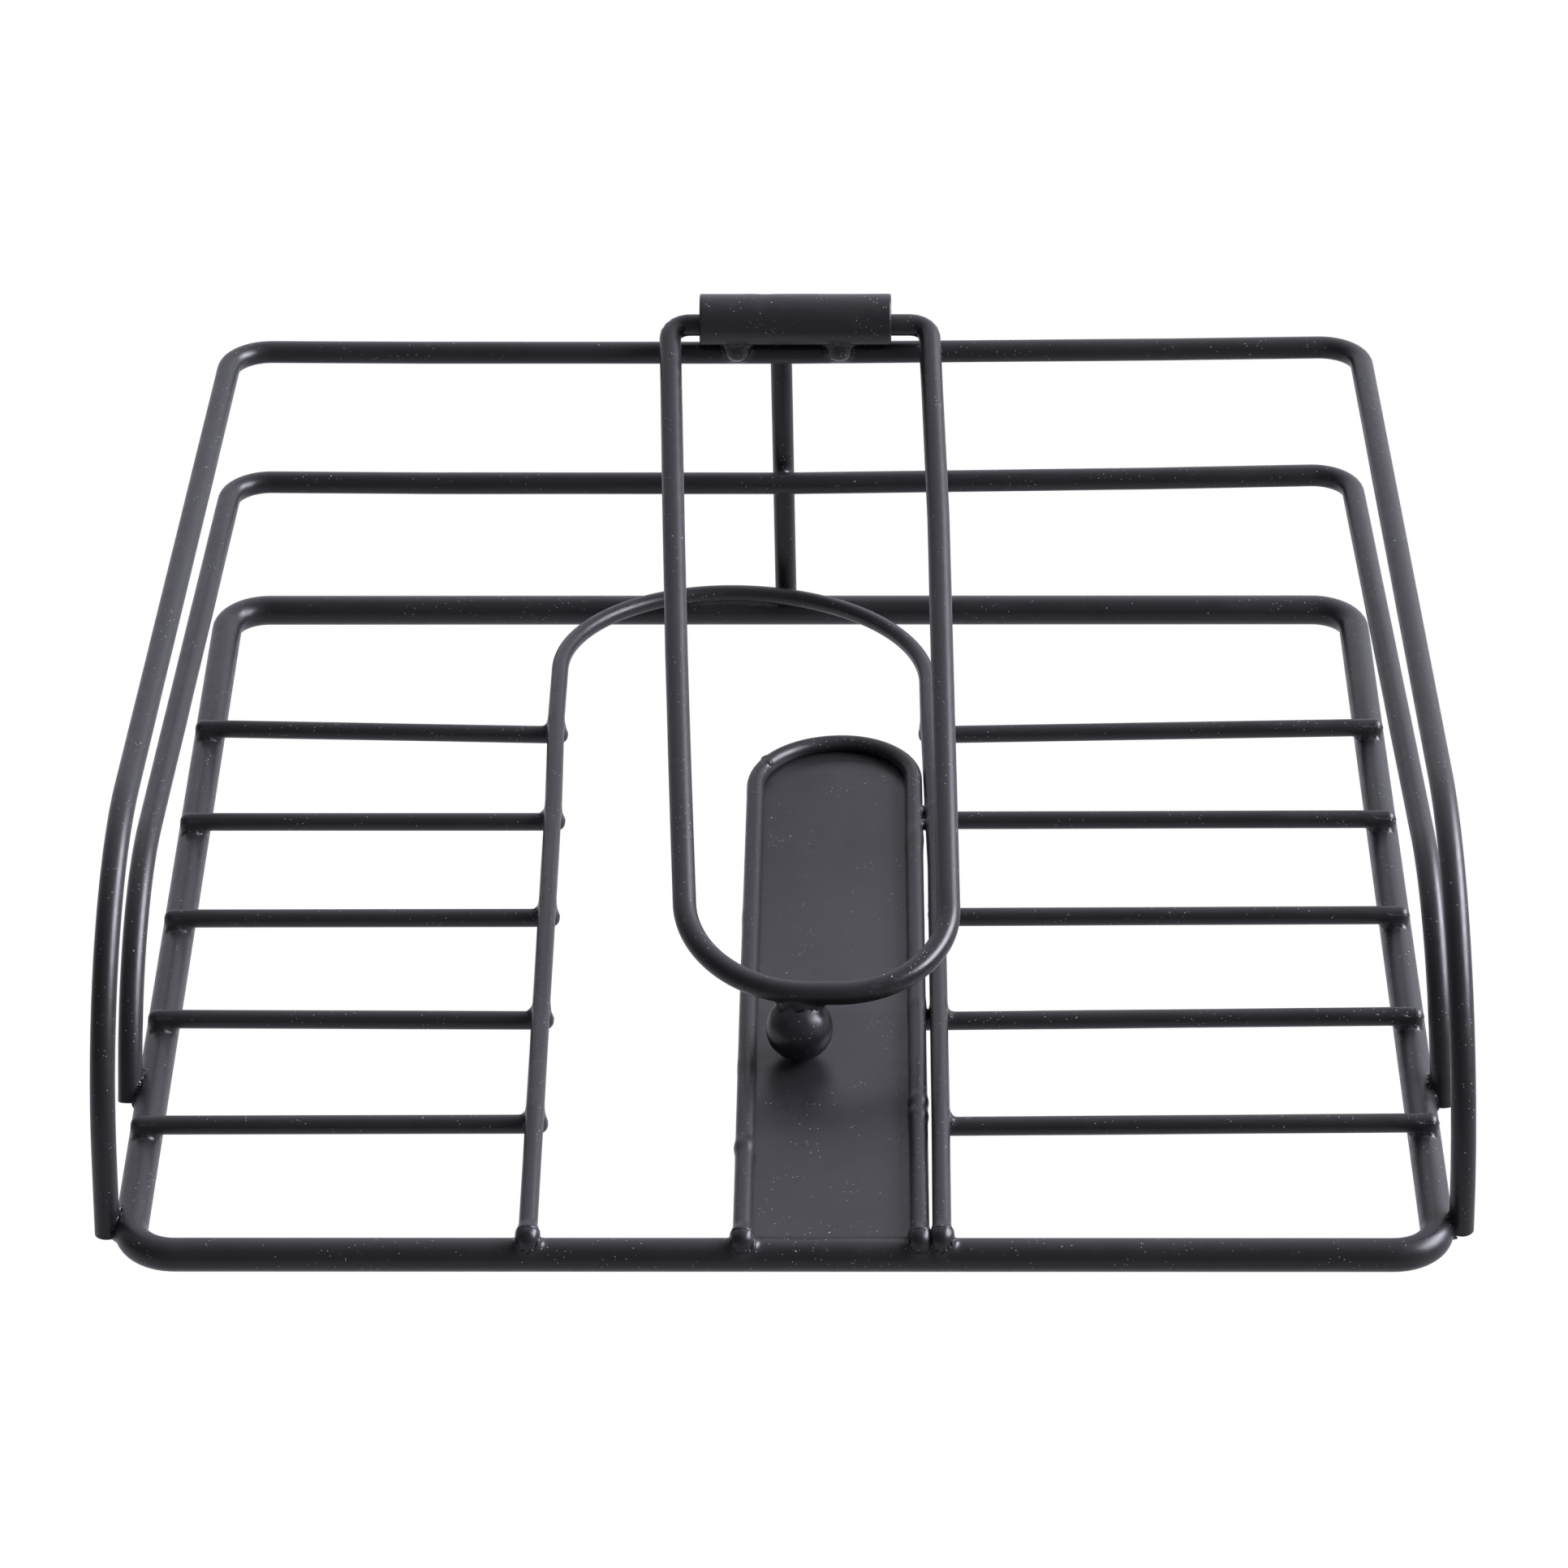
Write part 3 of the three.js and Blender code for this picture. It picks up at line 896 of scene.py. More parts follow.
@dataclass
class Tray:
    """The base rail, the cross wires and the finger loop."""

    frame: Frame
    rail: float = 4.8
    cross: float = 2.8
    loop: float = 2.7
    size: float = 185.2
    corner: float = 6.6
    set_down: float = 0.5
    overhang: float = -0.5
    inner_overhang: float = 0.5
    left_ends: Pairs = (
        (28.1, 27.8), (55.6, 56.0), (84.2, 84.0), (112.3, 112.3), (138.9, 141.0))
    right_ends: Pairs = (
        (27.5, 28.5), (55.4, 56.8), (84.4, 85.0), (112.7, 113.1), (138.9, 141.3))
    right_inner: tuple[float, ...] = (21.4, 19.0, 21.4, 19.0, 20.6)
    front_support: float = 28.0
    back_support: float = 140.0
    loop_left: Pairs = ((-0.9, -36.0), (28.0, -36.0), (115.0, -36.45),
                                                  (140.0, -36.95))
    loop_right: Pairs = ((-0.9, 22.3), (28.0, 22.5), (95.0, 22.8), (140.0, 22.2))
    loop_apex: float = 184.5
    loop_middle: float = -7.0
    loop_bends: tuple[float, float] = (27.1, 32.0)
    loop_front_height: float = 5.9
    loop_apex_height: float = 6.0
    bead_back: float = -0.5
    bead_drop: float = 0.45

    @property
    def cross_height(self) -> float:
        """Height of the cross wires' centre lines."""
        return self.rail + self.cross / 2.0 - self.set_down

    @property
    def loop_height(self) -> float:
        """Height of the two loops where they lie on the cross wires."""
        return self.cross_height + self.cross - self.set_down

    def plan(self, left: tuple, right: tuple, apex: float, bends: tuple) -> Array:
        """An inverted U, flat in plan: up the left leg, round, and down the right.

        Args:
            left: (back, X) along the left leg.
            right: (back, X) along the right leg.
            apex: how far back the U reaches.
            bends: bend radii of its left and right shoulders.

        Returns:
            The points of its centre line, at height 0.
        """
        rows = [(x, back, 0.0) for back, x in left]
        rows += [(left[-1][1], apex, 0.0), (right[-1][1], apex, 0.0)]
        rows += [(x, back, 0.0) for back, x in reversed(right)]
        radii = [0.0] * len(left) + [*bends] + [0.0] * len(right)
        return bent_path(self.frame.points(rows), radii)

    def build_base(self) -> Wire:
        """The square rail."""
        half = self.size / 2.0
        height = self.rail / 2.0
        corners = self.frame.points([(-half, 0.0, height), (half, 0.0, height),
                                     (half, self.size, height), (-half, self.size, height)])
        path = bent_path(corners, [self.corner] * 4, closed=True)
        return Wire("base_rail", "base_frame", path, self.rail, closed=True, sides=50, waver=0.0)

    def build_cross(self, side: int, number: int) -> Wire:
        """One cross wire.

        Args:
            side: -1 for the left, 1 for the right.
            number: 1 at the front to 5 at the back.

        Returns:
            The wire, from its inner end to its outer end.
        """
        inner_back, outer_back = (self.left_ends if side < 0 else self.right_ends)[number - 1]
        left_back, left_x = zip(*self.loop_left)
        past_loop = np.interp(inner_back, left_back, left_x) + self.loop / 2.0 + self.inner_overhang
        inner = float(past_loop) if side < 0 else self.right_inner[number - 1]
        outer = side * (self.size / 2.0 + self.rail / 2.0 + self.overhang)
        path = self.frame.points([(inner, inner_back, self.cross_height),
                                  (outer, outer_back, self.cross_height)])
        word = "left" if side < 0 else "right"
        return Wire(f"tray_wire_{word}_{number}", f"cross_wire_{word}_{number}", path, self.cross,
                    first_end=End.DOMED, last_end=End.DOMED)

    def build_loop(self) -> Wire:
        """The finger loop, sloping down to the front rail and to the rear rail."""
        path = even(self.plan(self.loop_left, self.loop_right, self.loop_apex, self.loop_bends),
                    LINE_SPACING)
        back = path[:, 1] + self.frame.middle_back
        front = np.clip(back / self.front_support, 0.0, 1.0)
        rear = np.clip((back - self.back_support) / (self.loop_apex - self.back_support), 0.0, 1.0)
        path[:, 2] = (self.loop_height - (1.0 - front) * (self.loop_height - self.loop_front_height)
                      - rear * (self.loop_height - self.loop_apex_height))
        return Wire("finger_loop_wire", "finger_loop", path, self.loop,
                    first_end=End.DOMED, last_end=End.DOMED)

    def build(self) -> list[Wire]:
        """Every wire of the tray, welded together.

        Returns:
            The base rail, the ten cross wires and the finger loop.
        """
        base = self.build_base()
        crosses = [self.build_cross(side, number) for side in (-1, 1) for number in range(1, 6)]
        loop = self.build_loop()
        for wire in crosses:
            weld_wires(base, wire, CROSS_TO_RAIL)
            weld_wires(wire, loop, CROSS_TO_LOOP)
        for x in (self.loop_left[0][1], self.loop_right[0][1]):
            weld_wires(base, loop, LOOP_TO_RAIL, self.frame.point(x, 0.0, self.rail))
        weld_wires(base, loop, APEX_TO_RAIL, self.frame.point(self.loop_middle, self.size, self.rail))
        return [base, *crosses, loop]

    def front_bead(self, name: str, x: float, height: float, base: Wire, leg: Wire) -> Bead:
        """The bead that a leg's front end runs out into on the front rail."""
        place = self.frame.point(x, self.bead_back, height - self.bead_drop)
        return weld_bead(name, place, radius=1.7, blend=1.5, wires=(base, leg))


@dataclass
class Pad:
    """The landing pad: a sheet-metal plate inside a U of wire.

    A drop of weld is given by its X, distance back, rise above the rim and radius.
    """

    tray: Tray
    left: Pairs = ((-0.9, -5.8), (56.0, -5.5), (115.0, -5.1))
    right: Pairs = ((-0.9, 19.25), (56.0, 19.4), (115.0, 19.6))
    apex: float = 132.3
    bends: tuple[float, float] = (13.5, 11.0)
    front_height: float = 5.6
    support: float = 56.0
    thickness: float = 0.9
    below_rim: float = 0.85
    plate_front: float = 0.4
    edge: float = 0.2
    spine_step: float = 0.8
    edge_points: int = 40
    marks: tuple[Swell, ...] = (
        Swell(21.6, 0.22, 1.3), Swell(41.5, 0.06, 2.0), Swell(81.5, 0.07, 2.4), Swell(-29.2, 0.16, 1.1),
        Swell(-32.6, 0.2, 1.2), Swell(-57.0, 0.1, 1.6), Swell(-104.0, 0.12, 2.2))
    drops: tuple[tuple[float, float, float, float], ...] = (
        (-3.6, 126.4, 0.5, 0.75), (-3.0, 124.6, 0.9, 0.6), (-3.6, 122.6, 0.4, 0.45),
        (-4.9, 114.9, 0.9, 0.4))
    tacks: tuple[float, float] = (107.5, 111.6)

    def height(self, back: Array) -> Array:
        """Height of the rim's centre line: it rises from the front rail to its support."""
        share = np.clip(back / self.support, 0.0, 1.0)
        return self.front_height + share * (self.tray.loop_height - self.front_height)

    def build_rim(self) -> Wire:
        """The rim wire, with the marks of its tack welds."""
        path = even(self.tray.plan(self.left, self.right, self.apex, self.bends), LINE_SPACING)
        path[:, 2] = self.height(path[:, 1] + self.tray.frame.middle_back)
        return Wire("pad_rim_wire", "pad_rim", path, self.tray.loop, first_end=End.DOMED,
                    last_end=End.DOMED, swells=list(self.marks))

    def build_plate(self) -> Object:
        """The plate: a flat sheet with a softly rounded edge.

        The outline is followed round. From each outline point the surface runs straight
        in to the plate's spine, which is the line that the sheet narrows to. The spine's
        points lie on even steps, so both sides meet there at the same points. The same
        section is carried over the top, round the edge and back underneath.

        Returns:
            The plate's object.
        """
        frame = self.tray.frame
        line = even(self.tray.plan(self.left, self.right, self.apex, self.bends), 0.5)
        back = line[:, 1] + frame.middle_back
        line = line[back >= self.plate_front]
        start = self.plate_front - frame.middle_back
        front = np.zeros((self.edge_points - 2, 3))
        front[:, 0] = np.linspace(line[-1, 0], line[0, 0], self.edge_points)[1:-1]
        front[:, 1] = start
        outline = np.concatenate([line, front])
        middle = (line[0, 0] + line[-1, 0]) / 2.0
        half = (line[-1, 0] - line[0, 0]) / 2.0
        level = np.round(outline[:, 1] / self.spine_step) * self.spine_step
        spine = np.stack([np.full(len(outline), middle),
                          np.clip(level, start + half, self.apex - frame.middle_back - half),
                          np.zeros(len(outline))], axis=1)
        inset = unit(spine - outline) * self.edge
        turn = np.linspace(0.0, math.pi, 7)
        across = np.linspace(1.0, 0.0, 14)[:-1]
        face = [spine * s + (outline + inset) * (1.0 - s) for s in across]
        rows = [(flat, 0.0) for flat in face]
        rows += [(outline + inset * (1.0 - math.sin(a)), (1.0 - math.cos(a)) / 2.0) for a in turn]
        rows += [(flat, 1.0) for flat in face[::-1]]
        points = np.concatenate([flat for flat, _ in rows])
        drop = np.concatenate([np.full(len(outline), share) for _, share in rows])
        top = self.height(points[:, 1] + frame.middle_back) - self.below_rim
        wave = 0.05 * (ripple(points, 42.0, 11) - 1.0) + 0.012 * (ripple(points, 9.0, 12) - 1.0)
        points[:, 2] = top - drop * self.thickness + wave
        quads = grid_faces(len(rows), len(outline), False)
        piece = to_object("pad_plate_sheet", points, quads)
        close_seams(piece)
        return piece

    def build(self, tray_wires: list[Wire]) -> Wire:
        """Builds the rim and welds it to the tray.

        Args:
            tray_wires: the tray's wires, as Tray.build returns them.

        Returns:
            The rim.
        """
        rim = self.build_rim()
        for x in (self.left[0][1], self.right[0][1]):
            weld_wires(tray_wires[0], rim, RIM_TO_RAIL, self.tray.frame.point(x, 0.0, self.tray.rail))
        for wire in tray_wires:
            if wire.name in ("tray_wire_right_2", "tray_wire_right_4"):
                weld_wires(wire, rim, RIM_TO_CROSS)
        return rim

    def burrs(self, rim: Wire, loop: Wire) -> list[Bead]:
        """Small drops of weld: behind the rim's left shoulder, and between rim and loop.

        Args:
            rim: the rim's wire.
            loop: the finger loop's wire.

        Returns:
            The drops.
        """
        point, top = self.tray.frame.point, self.tray.loop_height
        beads = [weld_bead(f"rim_burr_{k}", point(x, back, top + rise), radius, blend=0.3, wires=(rim,))
                 for k, (x, back, rise, radius) in enumerate(self.drops)]
        middle = (self.right[-1][1] + self.tray.loop_right[2][1]) / 2.0
        beads += [weld_bead(f"rim_tack_{k}", point(middle, back, top + 0.1), radius=0.85, blend=0.6,
                            wires=(rim, loop)) for k, back in enumerate(self.tacks)]
        return beads


@dataclass
class GuardSide:
    """One side of a guard: (X, height) at the back corner, then (X, back) of bend and foot."""

    corner: tuple[float, float]
    bend: tuple[float, float]
    foot: tuple[float, float]
    radius: float
    foot_height: float = 1.1


@dataclass
class Guard:
    """A wire that runs up from the base rail, round the back and down again.

    Its back rail sags towards the middle: sag holds that corner's X and height, and the
    radius of the long bend there.
    """

    frame: Frame
    name: str
    node: str
    left: GuardSide
    right: GuardSide
    sag: tuple[float, float, float]
    diameter: float = 3.6
    back: float = 185.6
    corner: float = 6.6

    def build(self) -> Wire:
        """The guard, from its left foot to its right foot."""
        rows = []
        for side in (self.left, self.right):
            stretch = [(*side.foot, side.foot_height), (*side.bend, side.corner[1]),
                       (side.corner[0], self.back, side.corner[1])]
            rows += stretch if side is self.left else stretch[::-1]
        x, height, radius = self.sag
        rows.insert(3, (x, self.back, height))
        bends = [0.0, self.left.radius, self.corner, radius, self.corner, self.right.radius, 0.0]
        path = bent_path(self.frame.points(rows), bends)
        return Wire(self.name, self.node, path, self.diameter, sides=44)


@dataclass
class Guards:
    """Both guards, the spine behind them, and their welds to the base rail."""

    frame: Frame
    spine_diameter: float = 3.5
    spine_back: float = 189.55
    spine_foot: tuple[float, float] = (-0.7, 0.8)
    spine_top: tuple[float, float] = (-1.4, 50.9)
    notches: tuple[tuple[float, float, float], ...] = (
        (-94.7, 8.6, 4.0), (94.9, 7.2, 3.9), (-94.7, 43.4, 4.2), (94.9, 42.4, 4.1))

    def beads(self, base: Wire, guards: list[Wire]) -> list[Bead]:
        """The beads of weld in the notch between each foot and the base rail."""
        return [weld_bead(f"guard_weld_{k}", self.frame.point(*place), radius=0.95, blend=0.5,
                          wires=(base, guards[k // 2])) for k, place in enumerate(self.notches)]

    def build(self, base: Wire) -> list[Wire]:
        """Builds the guards and the spine.

        Args:
            base: the base rail that their feet are welded to.

        Returns:
            The upper guard, the middle guard and the spine.
        """
        upper = Guard(self.frame, "upper_guard_wire", "upper_guard",
                      GuardSide((-89.95, 50.1), (-95.7, 12.2), (-96.1, 6.7), 40.7),
                      GuardSide((91.8, 50.85), (95.1, 6.9), (96.1, 6.9), 44.0, foot_height=1.8),
                      sag=(0.9, 49.55, 5900.0)).build()
        middle = Guard(self.frame, "middle_guard_wire", "middle_guard",
                       GuardSide((-91.0, 26.25), (-95.85, 54.0), (-95.95, 40.6), 39.0),
                       GuardSide((91.35, 27.5), (95.2, 48.4), (96.1, 39.8), 33.0),
                       sag=(0.2, 25.5, 3900.0)).build()
        path = self.frame.points([(self.spine_foot[0], self.spine_back, self.spine_foot[1]),
                                  (self.spine_top[0], self.spine_back, self.spine_top[1])])
        spine = Wire("spine_wire", "spine_rod", path, self.spine_diameter)
        for guard in (upper, middle):
            for end in (guard.line[0], guard.line[-1]):
                weld_wires(base, guard, FOOT_TO_RAIL, end)
            weld_wires(guard, spine, SPINE_TO_RAIL)
        weld_wires(base, spine, SPINE_TO_RAIL)
        return [upper, middle, spine]


@dataclass
class Hinge:
    """The tube on the upper rail.

    Each dent is a ripple's depth, wavelength and seed. The ridge is the tube's seam: where
    along X, how deep, and its widths along X and round the tube.
    """

    frame: Frame
    diameter: float = 8.3
    bore: float = 6.2
    ends: tuple[float, float] = (-14.4, 16.4)
    back: float = 185.2
    height: float = 56.08
    rounding: float = 0.35
    sides: int = 96
    tacks: tuple[float, float] = (-8.4, 8.1)
    tack_forward: float = 1.1
    tack_drop: float = 4.6
    dents: tuple[tuple[float, float, int], ...] = ((0.022, 11.0, 5), (0.008, 2.6, 6))
    ridge: tuple[float, float, float, float] = (-3.9, 0.09, 1.2, 0.7)
    welds: list[tuple[Weld, Field]] = field(default_factory=list)

    def solid(self) -> Field:
        """The tube's outside as a distance field."""
        line = self.frame.points([(x, self.back, self.height)
                                  for x in np.linspace(*self.ends, 40)])
        return Field(line, self.diameter / 2.0)

    def beads(self, rail: Wire) -> list[Bead]:
        """The two mounds of weld that hold the tube to its rail, and end in its wall."""
        places = [self.frame.point(x, self.back - self.tack_forward, self.height - self.tack_drop)
                  for x in self.tacks]
        beads = [weld_bead(f"tube_weld_{k}", place, radius=2.15, blend=1.1, wires=(rail, self))
                 for k, place in enumerate(places)]
        for bead in beads:
            bead.keep_out = Field(self.solid().line, (self.diameter + self.bore) / 4.0)
        return beads

    def build(self) -> Object:
        """The tube: its wall's section turned once about its own axis.

        The section is a rectangle with rounded corners. The outside has two faint dents
        and a slow ripple, as a rolled tube has.

        Returns:
            The tube's object.
        """
        outer, inner = self.diameter / 2.0, self.bore / 2.0
        start, stop = self.ends
        r = self.rounding
        quarter = np.linspace(0.0, math.pi / 2.0, 7)
        outside = np.linspace(start + r, stop - r, 150)
        sine, cosine = r * np.sin(quarter), r * np.cos(quarter)
        profile = np.concatenate([np.stack(pair, axis=1)[kept] for pair, kept in (
            ((outside, np.full_like(outside, outer)), slice(None)),
            ((stop - r + sine, outer - r + cosine), slice(1, None)),
            ((stop - r + cosine, inner + r - sine), slice(None)),
            ((outside[::-3], np.full_like(outside[::-3], inner)), slice(1, -1)),
            ((start + r - sine, inner + r - cosine), slice(None)),
            ((start + r - cosine, outer - r + sine), slice(None, -1)))])
        angle = turns(self.sides)
        radius = np.repeat(profile[:, 1], self.sides)
        x = np.repeat(profile[:, 0], self.sides)
        spin = np.tile(angle, len(profile))
        spokes = np.stack([np.zeros_like(spin), np.cos(spin), np.sin(spin)], axis=1)
        centre = self.frame.point(0.0, self.back, self.height)
        points = centre + spokes * radius[:, None] + x[:, None] * np.array([1.0, 0.0, 0.0])
        outermost = radius > outer - r
        dents = sum(depth * (ripple(points, wavelength, seed) - 1.0)
                    for depth, wavelength, seed in self.dents)
        at, depth, width, spread = self.ridge
        ridge = -depth * np.exp(-(((x - at) / width) ** 2)) * np.exp(-(((spin - math.pi / 2) / spread) ** 2))
        points = points + spokes * (np.where(outermost, dents + ridge, 0.0))[:, None]
        swollen, weld = pushed_out(points, spokes, self.welds)
        points = np.where(outermost[:, None], swollen, points)
        quads = grid_faces(len(profile), self.sides, True)
        chips = np.exp(-(((x - stop) / 0.5) ** 2))
        return to_object("hinge_tube_sleeve", points, quads, weld=weld, rub=0.6 * chips)


@dataclass
class SwingArm:
    """The loop that swings, and the ball that weights it.

    A corner is its X and how far down the arm it lies: in mm for the corners near the
    hinge, and as a share of the arm's length for those after them. A worn place is its X,
    distance back, height and width.
    """

    frame: Frame
    hinge: Hinge
    pad: Pad
    wire: float = 3.5
    drop: float = 1.0
    front_back: float = 44.35
    front_height: float = 17.75
    corners: Pairs = (
        (-19.2, 0.0), (22.5, 0.0), (23.5, 45.0), (24.15, 1.0), (-14.2, 1.0),
        (-17.0, 0.52))
    bends: tuple[float, ...] = (3.1, 3.1, 200.0, 16.4, 18.6, 5000.0)
    hinge_corners: int = 3
    ball: float = 10.0
    ball_x: float = 2.1
    rest_gap: float = 0.12
    worn_places: tuple[tuple[float, float, float, float], ...] = (
        (22.3, 48.0, 20.0, 6.0), (16.0, 45.5, 19.0, 5.0))

    def build_loop(self) -> Wire:
        """The loop, drawn in its own sloping plane from the pivot line to the front."""
        pivot = self.frame.point(0.0, self.hinge.back, self.hinge.height - self.drop)
        front = self.frame.point(0.0, self.front_back, self.front_height)
        length = float(np.linalg.norm(front - pivot))
        down = (front - pivot) / length
        reach = [a if i < self.hinge_corners else a * length for i, (_, a) in enumerate(self.corners)]
        corners = np.array([pivot + np.array([x, 0.0, 0.0]) + down * a
                            for (x, _), a in zip(self.corners, reach)])
        path = bent_path(corners, list(self.bends), closed=True)
        rubs = [(self.frame.point(*place), width) for *place, width in self.worn_places]
        return Wire("swing_arm_wire", "arm_loop", path, self.wire, closed=True, rubs=rubs, sides=44)

    def build_ball(self, loop: Wire) -> Bead:
        """The ball, run up into its weld with the arm.

        Args:
            loop: the arm's wire.

        Returns:
            The ball.
        """
        radius = self.ball / 2.0
        height = float(self.pad.height(np.array(self.front_back)))
        height += radius + self.rest_gap - self.pad.below_rim
        centre = self.frame.point(self.ball_x, self.front_back, height)
        ball = Bead("ball_weight_ball", centre, radius, coarse=(0.12, 4.5), fine=(0.05, 1.7), rows=100,
                    polish=0.1)
        joint = Weld(meeting(loop.line, centre[None, :] + UP * radius), *BALL_TO_ARM)
        ball.welds.append((joint, loop.solid()))
        loop.welds.append((joint, ball.solid()))
        return ball


def close_seams(piece: Object) -> None:
    """Merges vertices that lie on each other and turns every face outwards."""
    mesh = bmesh.new()
    mesh.from_mesh(piece.data)
    bmesh.ops.remove_doubles(mesh, verts=mesh.verts, dist=0.002 * MM)
    bmesh.ops.dissolve_degenerate(mesh, edges=mesh.edges, dist=0.001 * MM)
    bmesh.ops.recalc_face_normals(mesh, faces=mesh.faces)
    mesh.to_mesh(piece.data)
    mesh.free()
    piece.data.shade_smooth()


def dress(piece: Object, node: str | None, body: str,
          finish: Material) -> None:
    """Gives a piece its finish and its body, and hides the node that it stands for."""
    piece.data.materials.append(finish)
    if node:
        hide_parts(node)
    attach(piece, body)
    LOG.info("%s: %d faces", piece.name, len(piece.data.polygons))


# ---- Stage --------------------------------------------------------------


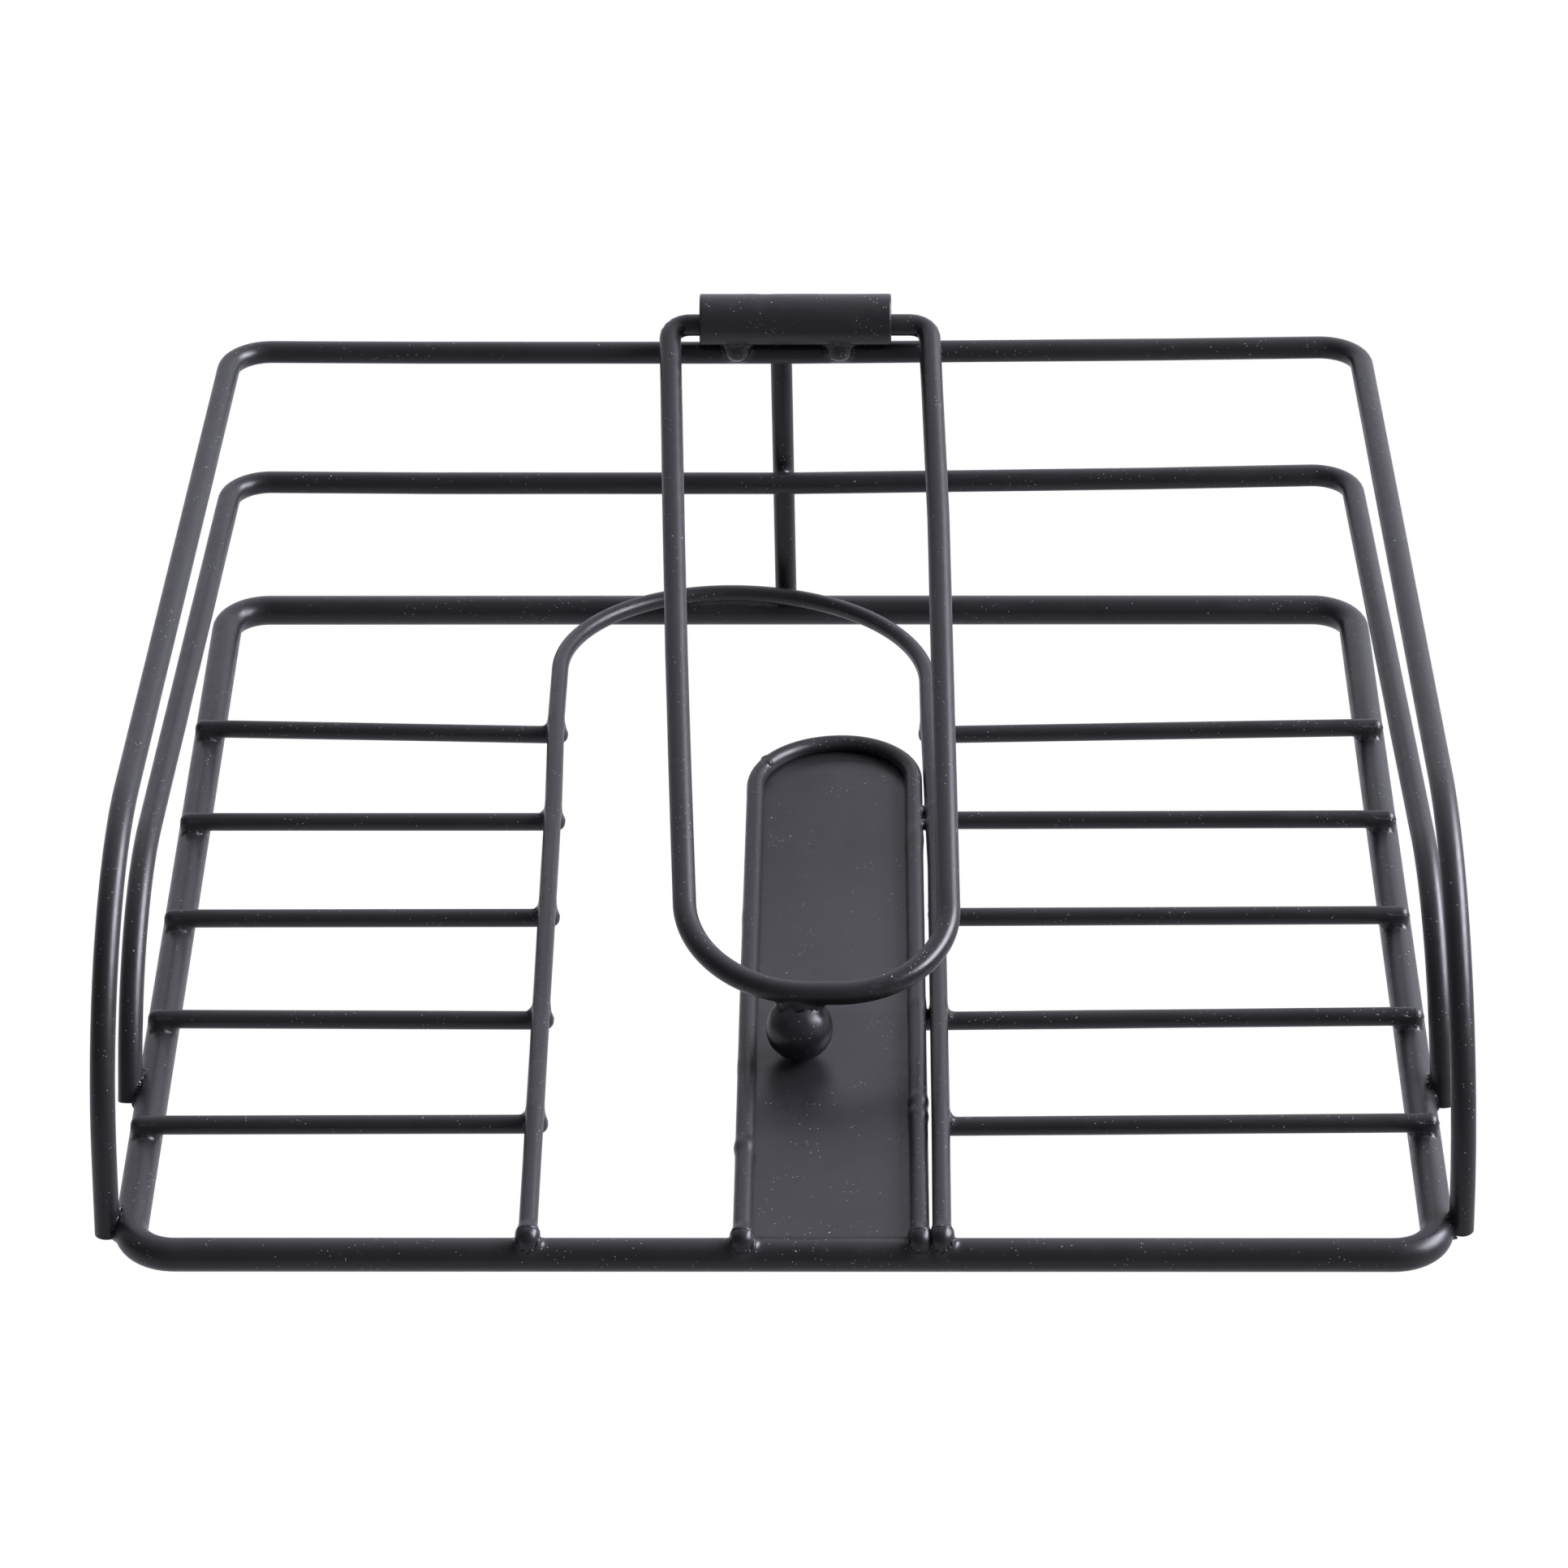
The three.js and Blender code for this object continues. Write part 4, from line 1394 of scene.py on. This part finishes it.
@dataclass
class Stage:
    """Floor, backdrop, lights and camera."""

    floor_reach: float = 6.0
    elevation: float = 30.901
    yaw: float = -0.481
    roll: float = -0.258
    target: tuple[float, float, float] = (-0.71, 34.82, 2.4)
    distance: float = 1037.3
    lens: float = 150.85
    sky_front: float = 0.22
    sky_rise: float = 0.83
    sky_lean: float = 0.3
    sky_axis: tuple[float, float, float] = (0.0, 0.92, 0.39)
    sky_power: float = 1.3
    horizon: tuple[float, float] = (-0.3, 0.05)
    ground_middle: float = 0.68
    ground_fall: float = -0.2
    tint: tuple[float, float, float, float] = (0.955, 0.96, 1.08, 1.0)
    bank_place: tuple[float, float, float] = (1.12, 0.14, 0.77)
    bank_size: tuple[float, float] = (1.2, 0.65)
    bank_power: float = 42.0
    bank_aim: tuple[float, float, float] = (0.0, 0.0, 0.02)

    def white(self) -> Material:
        """A plain bright white."""
        material = bpy.data.materials.new("studio_white")
        links = Links(material)
        glow = links.add("Emission", {"Color": (1.0, 1.0, 1.0, 1.0), "Strength": 1.0})
        links.add("OutputMaterial", {"Surface": glow.outputs["Emission"]})
        return material

    def build_floor(self) -> None:
        """A pale floor and, far off, a pale dome above it."""
        reach = self.floor_reach
        corners = [(-reach, -reach, 0.0), (reach, -reach, 0.0), (reach, reach, 0.0), (-reach, reach, 0.0)]
        mesh = bpy.data.meshes.new("floor")
        mesh.from_pydata(corners, [], [(0, 1, 2, 3)])
        floor = linked("floor", mesh)
        rows, columns = 12, 48
        points = ball_rings(np.linspace(math.pi / 2.0, 0.0, rows), columns) * reach / MM
        dome = to_object("backdrop", points, grid_faces(rows, columns, False))
        white = self.white()
        for thing in (floor, dome):
            thing.data.materials.append(white)
            thing.visible_diffuse = False
            thing.visible_glossy = False
            thing.visible_shadow = False
        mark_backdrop(floor, dome)

    def build_world(self) -> None:
        """Soft light from all round, which grows towards the back and above.

        With d the direction and t its share towards a point 23 degrees above the back,
        the upper half is front + rise times t to the power 1.3, a little less on the left
        and more on the right. The lower half changes evenly from front to back. The halves
        fade into each other at the horizon.
        """
        world = bpy.data.worlds.new("studio")
        links = Links(world)
        direction = links.add("TexCoord", {}).outputs["Generated"]
        parts = links.add("SeparateXYZ", {0: direction})
        toward = links.add("VectorMath", {0: direction, 1: self.sky_axis}, operation="DOT_PRODUCT")
        lobe = links.math("POWER", links.math("MAXIMUM", toward.outputs["Value"], 0.0), self.sky_power)
        sky = links.math("ADD", links.math("MULTIPLY", lobe, self.sky_rise), self.sky_front)
        lean = links.math("ADD", links.math("MULTIPLY", parts.outputs["X"], self.sky_lean), 1.0)
        sky = links.math("MULTIPLY", sky, lean)
        ground = links.math("SUBTRACT", self.ground_middle,
                            links.math("MULTIPLY", parts.outputs["Y"], self.ground_fall))
        above = links.band(parts.outputs["Z"], *self.horizon)
        glow = links.math("ADD", links.math("MULTIPLY", sky, above),
                          links.math("MULTIPLY", ground, links.math("SUBTRACT", 1.0, above)))
        background = links.add("Background", {"Color": self.tint, "Strength": glow})
        links.add("OutputWorld", {"Surface": background.outputs[0]})
        bpy.context.scene.world = world

    def build_lights(self) -> None:
        """The soft surroundings, and one soft box high on the right that faces the object."""
        self.build_world()
        data = bpy.data.lights.new("bank_right", "AREA")
        data.shape = "RECTANGLE"
        data.size, data.size_y = self.bank_size
        data.energy = self.bank_power
        data.color = self.tint[:3]
        light = linked("bank_right", data)
        light.location = self.bank_place
        toward = Vector(self.bank_aim) - Vector(self.bank_place)
        light.rotation_euler = toward.to_track_quat("-Z", "Y").to_euler()
        bpy.context.scene.view_settings.view_transform = "Standard"

    def build_camera(self) -> None:
        """A long lens in front and above."""
        e, yaw, roll = (math.radians(a) for a in (self.elevation, self.yaw, self.roll))
        forward = Vector((math.sin(yaw) * math.cos(e), math.cos(yaw) * math.cos(e), -math.sin(e)))
        level = Vector((math.cos(yaw), -math.sin(yaw), 0.0))
        upright = level.cross(forward)
        right = level * math.cos(roll) + upright * math.sin(roll)
        up = -level * math.sin(roll) + upright * math.cos(roll)
        data = bpy.data.cameras.new("camera")
        data.lens = self.lens
        data.clip_start, data.clip_end = 0.05, 50.0
        camera = linked("camera", data)
        axes = Matrix((right, up, -forward)).transposed().to_4x4()
        axes.translation = (Vector(self.target) - forward * self.distance) * MM
        camera.matrix_world = axes
        bpy.context.scene.camera = camera

    def build(self) -> None:
        """Sets the whole stage."""
        self.build_camera()
        self.build_floor()
        self.build_lights()


def main() -> None:
    """Builds the holder round its frame."""
    logging.basicConfig(level=logging.INFO, format="%(message)s")
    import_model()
    frame_box = [list(corner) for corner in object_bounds()]
    stage = Stage()
    stage.build()
    ROOM.low, ROOM.high = (np.array(corner) / MM for corner in frame_box)
    finishes = Finishes.make()

    front_rail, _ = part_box("base_frame")
    tray = Tray(Frame(middle_back=-front_rail.y / MM - Tray.rail / 2.0))
    tray_wires = tray.build()
    pad = Pad(tray)
    rim = pad.build(tray_wires)
    base, finger_loop = tray_wires[0], tray_wires[-1]
    guards = Guards(tray.frame)
    guard_wires = guards.build(base)
    hinge = Hinge(tray.frame)
    loops = ((finger_loop, tray.loop_front_height, (tray.loop_left, tray.loop_right)),
             (rim, pad.front_height, (pad.left, pad.right)))
    beads = [tray.front_bead(f"{wire.name}_end_{k}", leg[0][1], height, base, wire)
             for wire, height, legs in loops for k, leg in enumerate(legs)]
    beads += pad.burrs(rim, finger_loop) + hinge.beads(guard_wires[0])
    beads += guards.beads(base, guard_wires)
    arm = SwingArm(tray.frame, hinge, pad)
    loop = arm.build_loop()
    ball = arm.build_ball(loop)

    for wire in [*tray_wires, rim, *guard_wires]:
        dress(wire.build(), wire.node, "frame", finishes.wire)
    for bead in beads:
        dress(bead.build(), None, "frame", finishes.wire)
    dress(pad.build_plate(), "pad_plate", "frame", finishes.plate)
    dress(hinge.build(), "hinge_tube", "frame", finishes.wire)
    dress(loop.build(), loop.node, "arm", finishes.wire)
    dress(ball.build(), "ball_weight", "arm", finishes.wire)


if __name__ == "__main__":
    main()
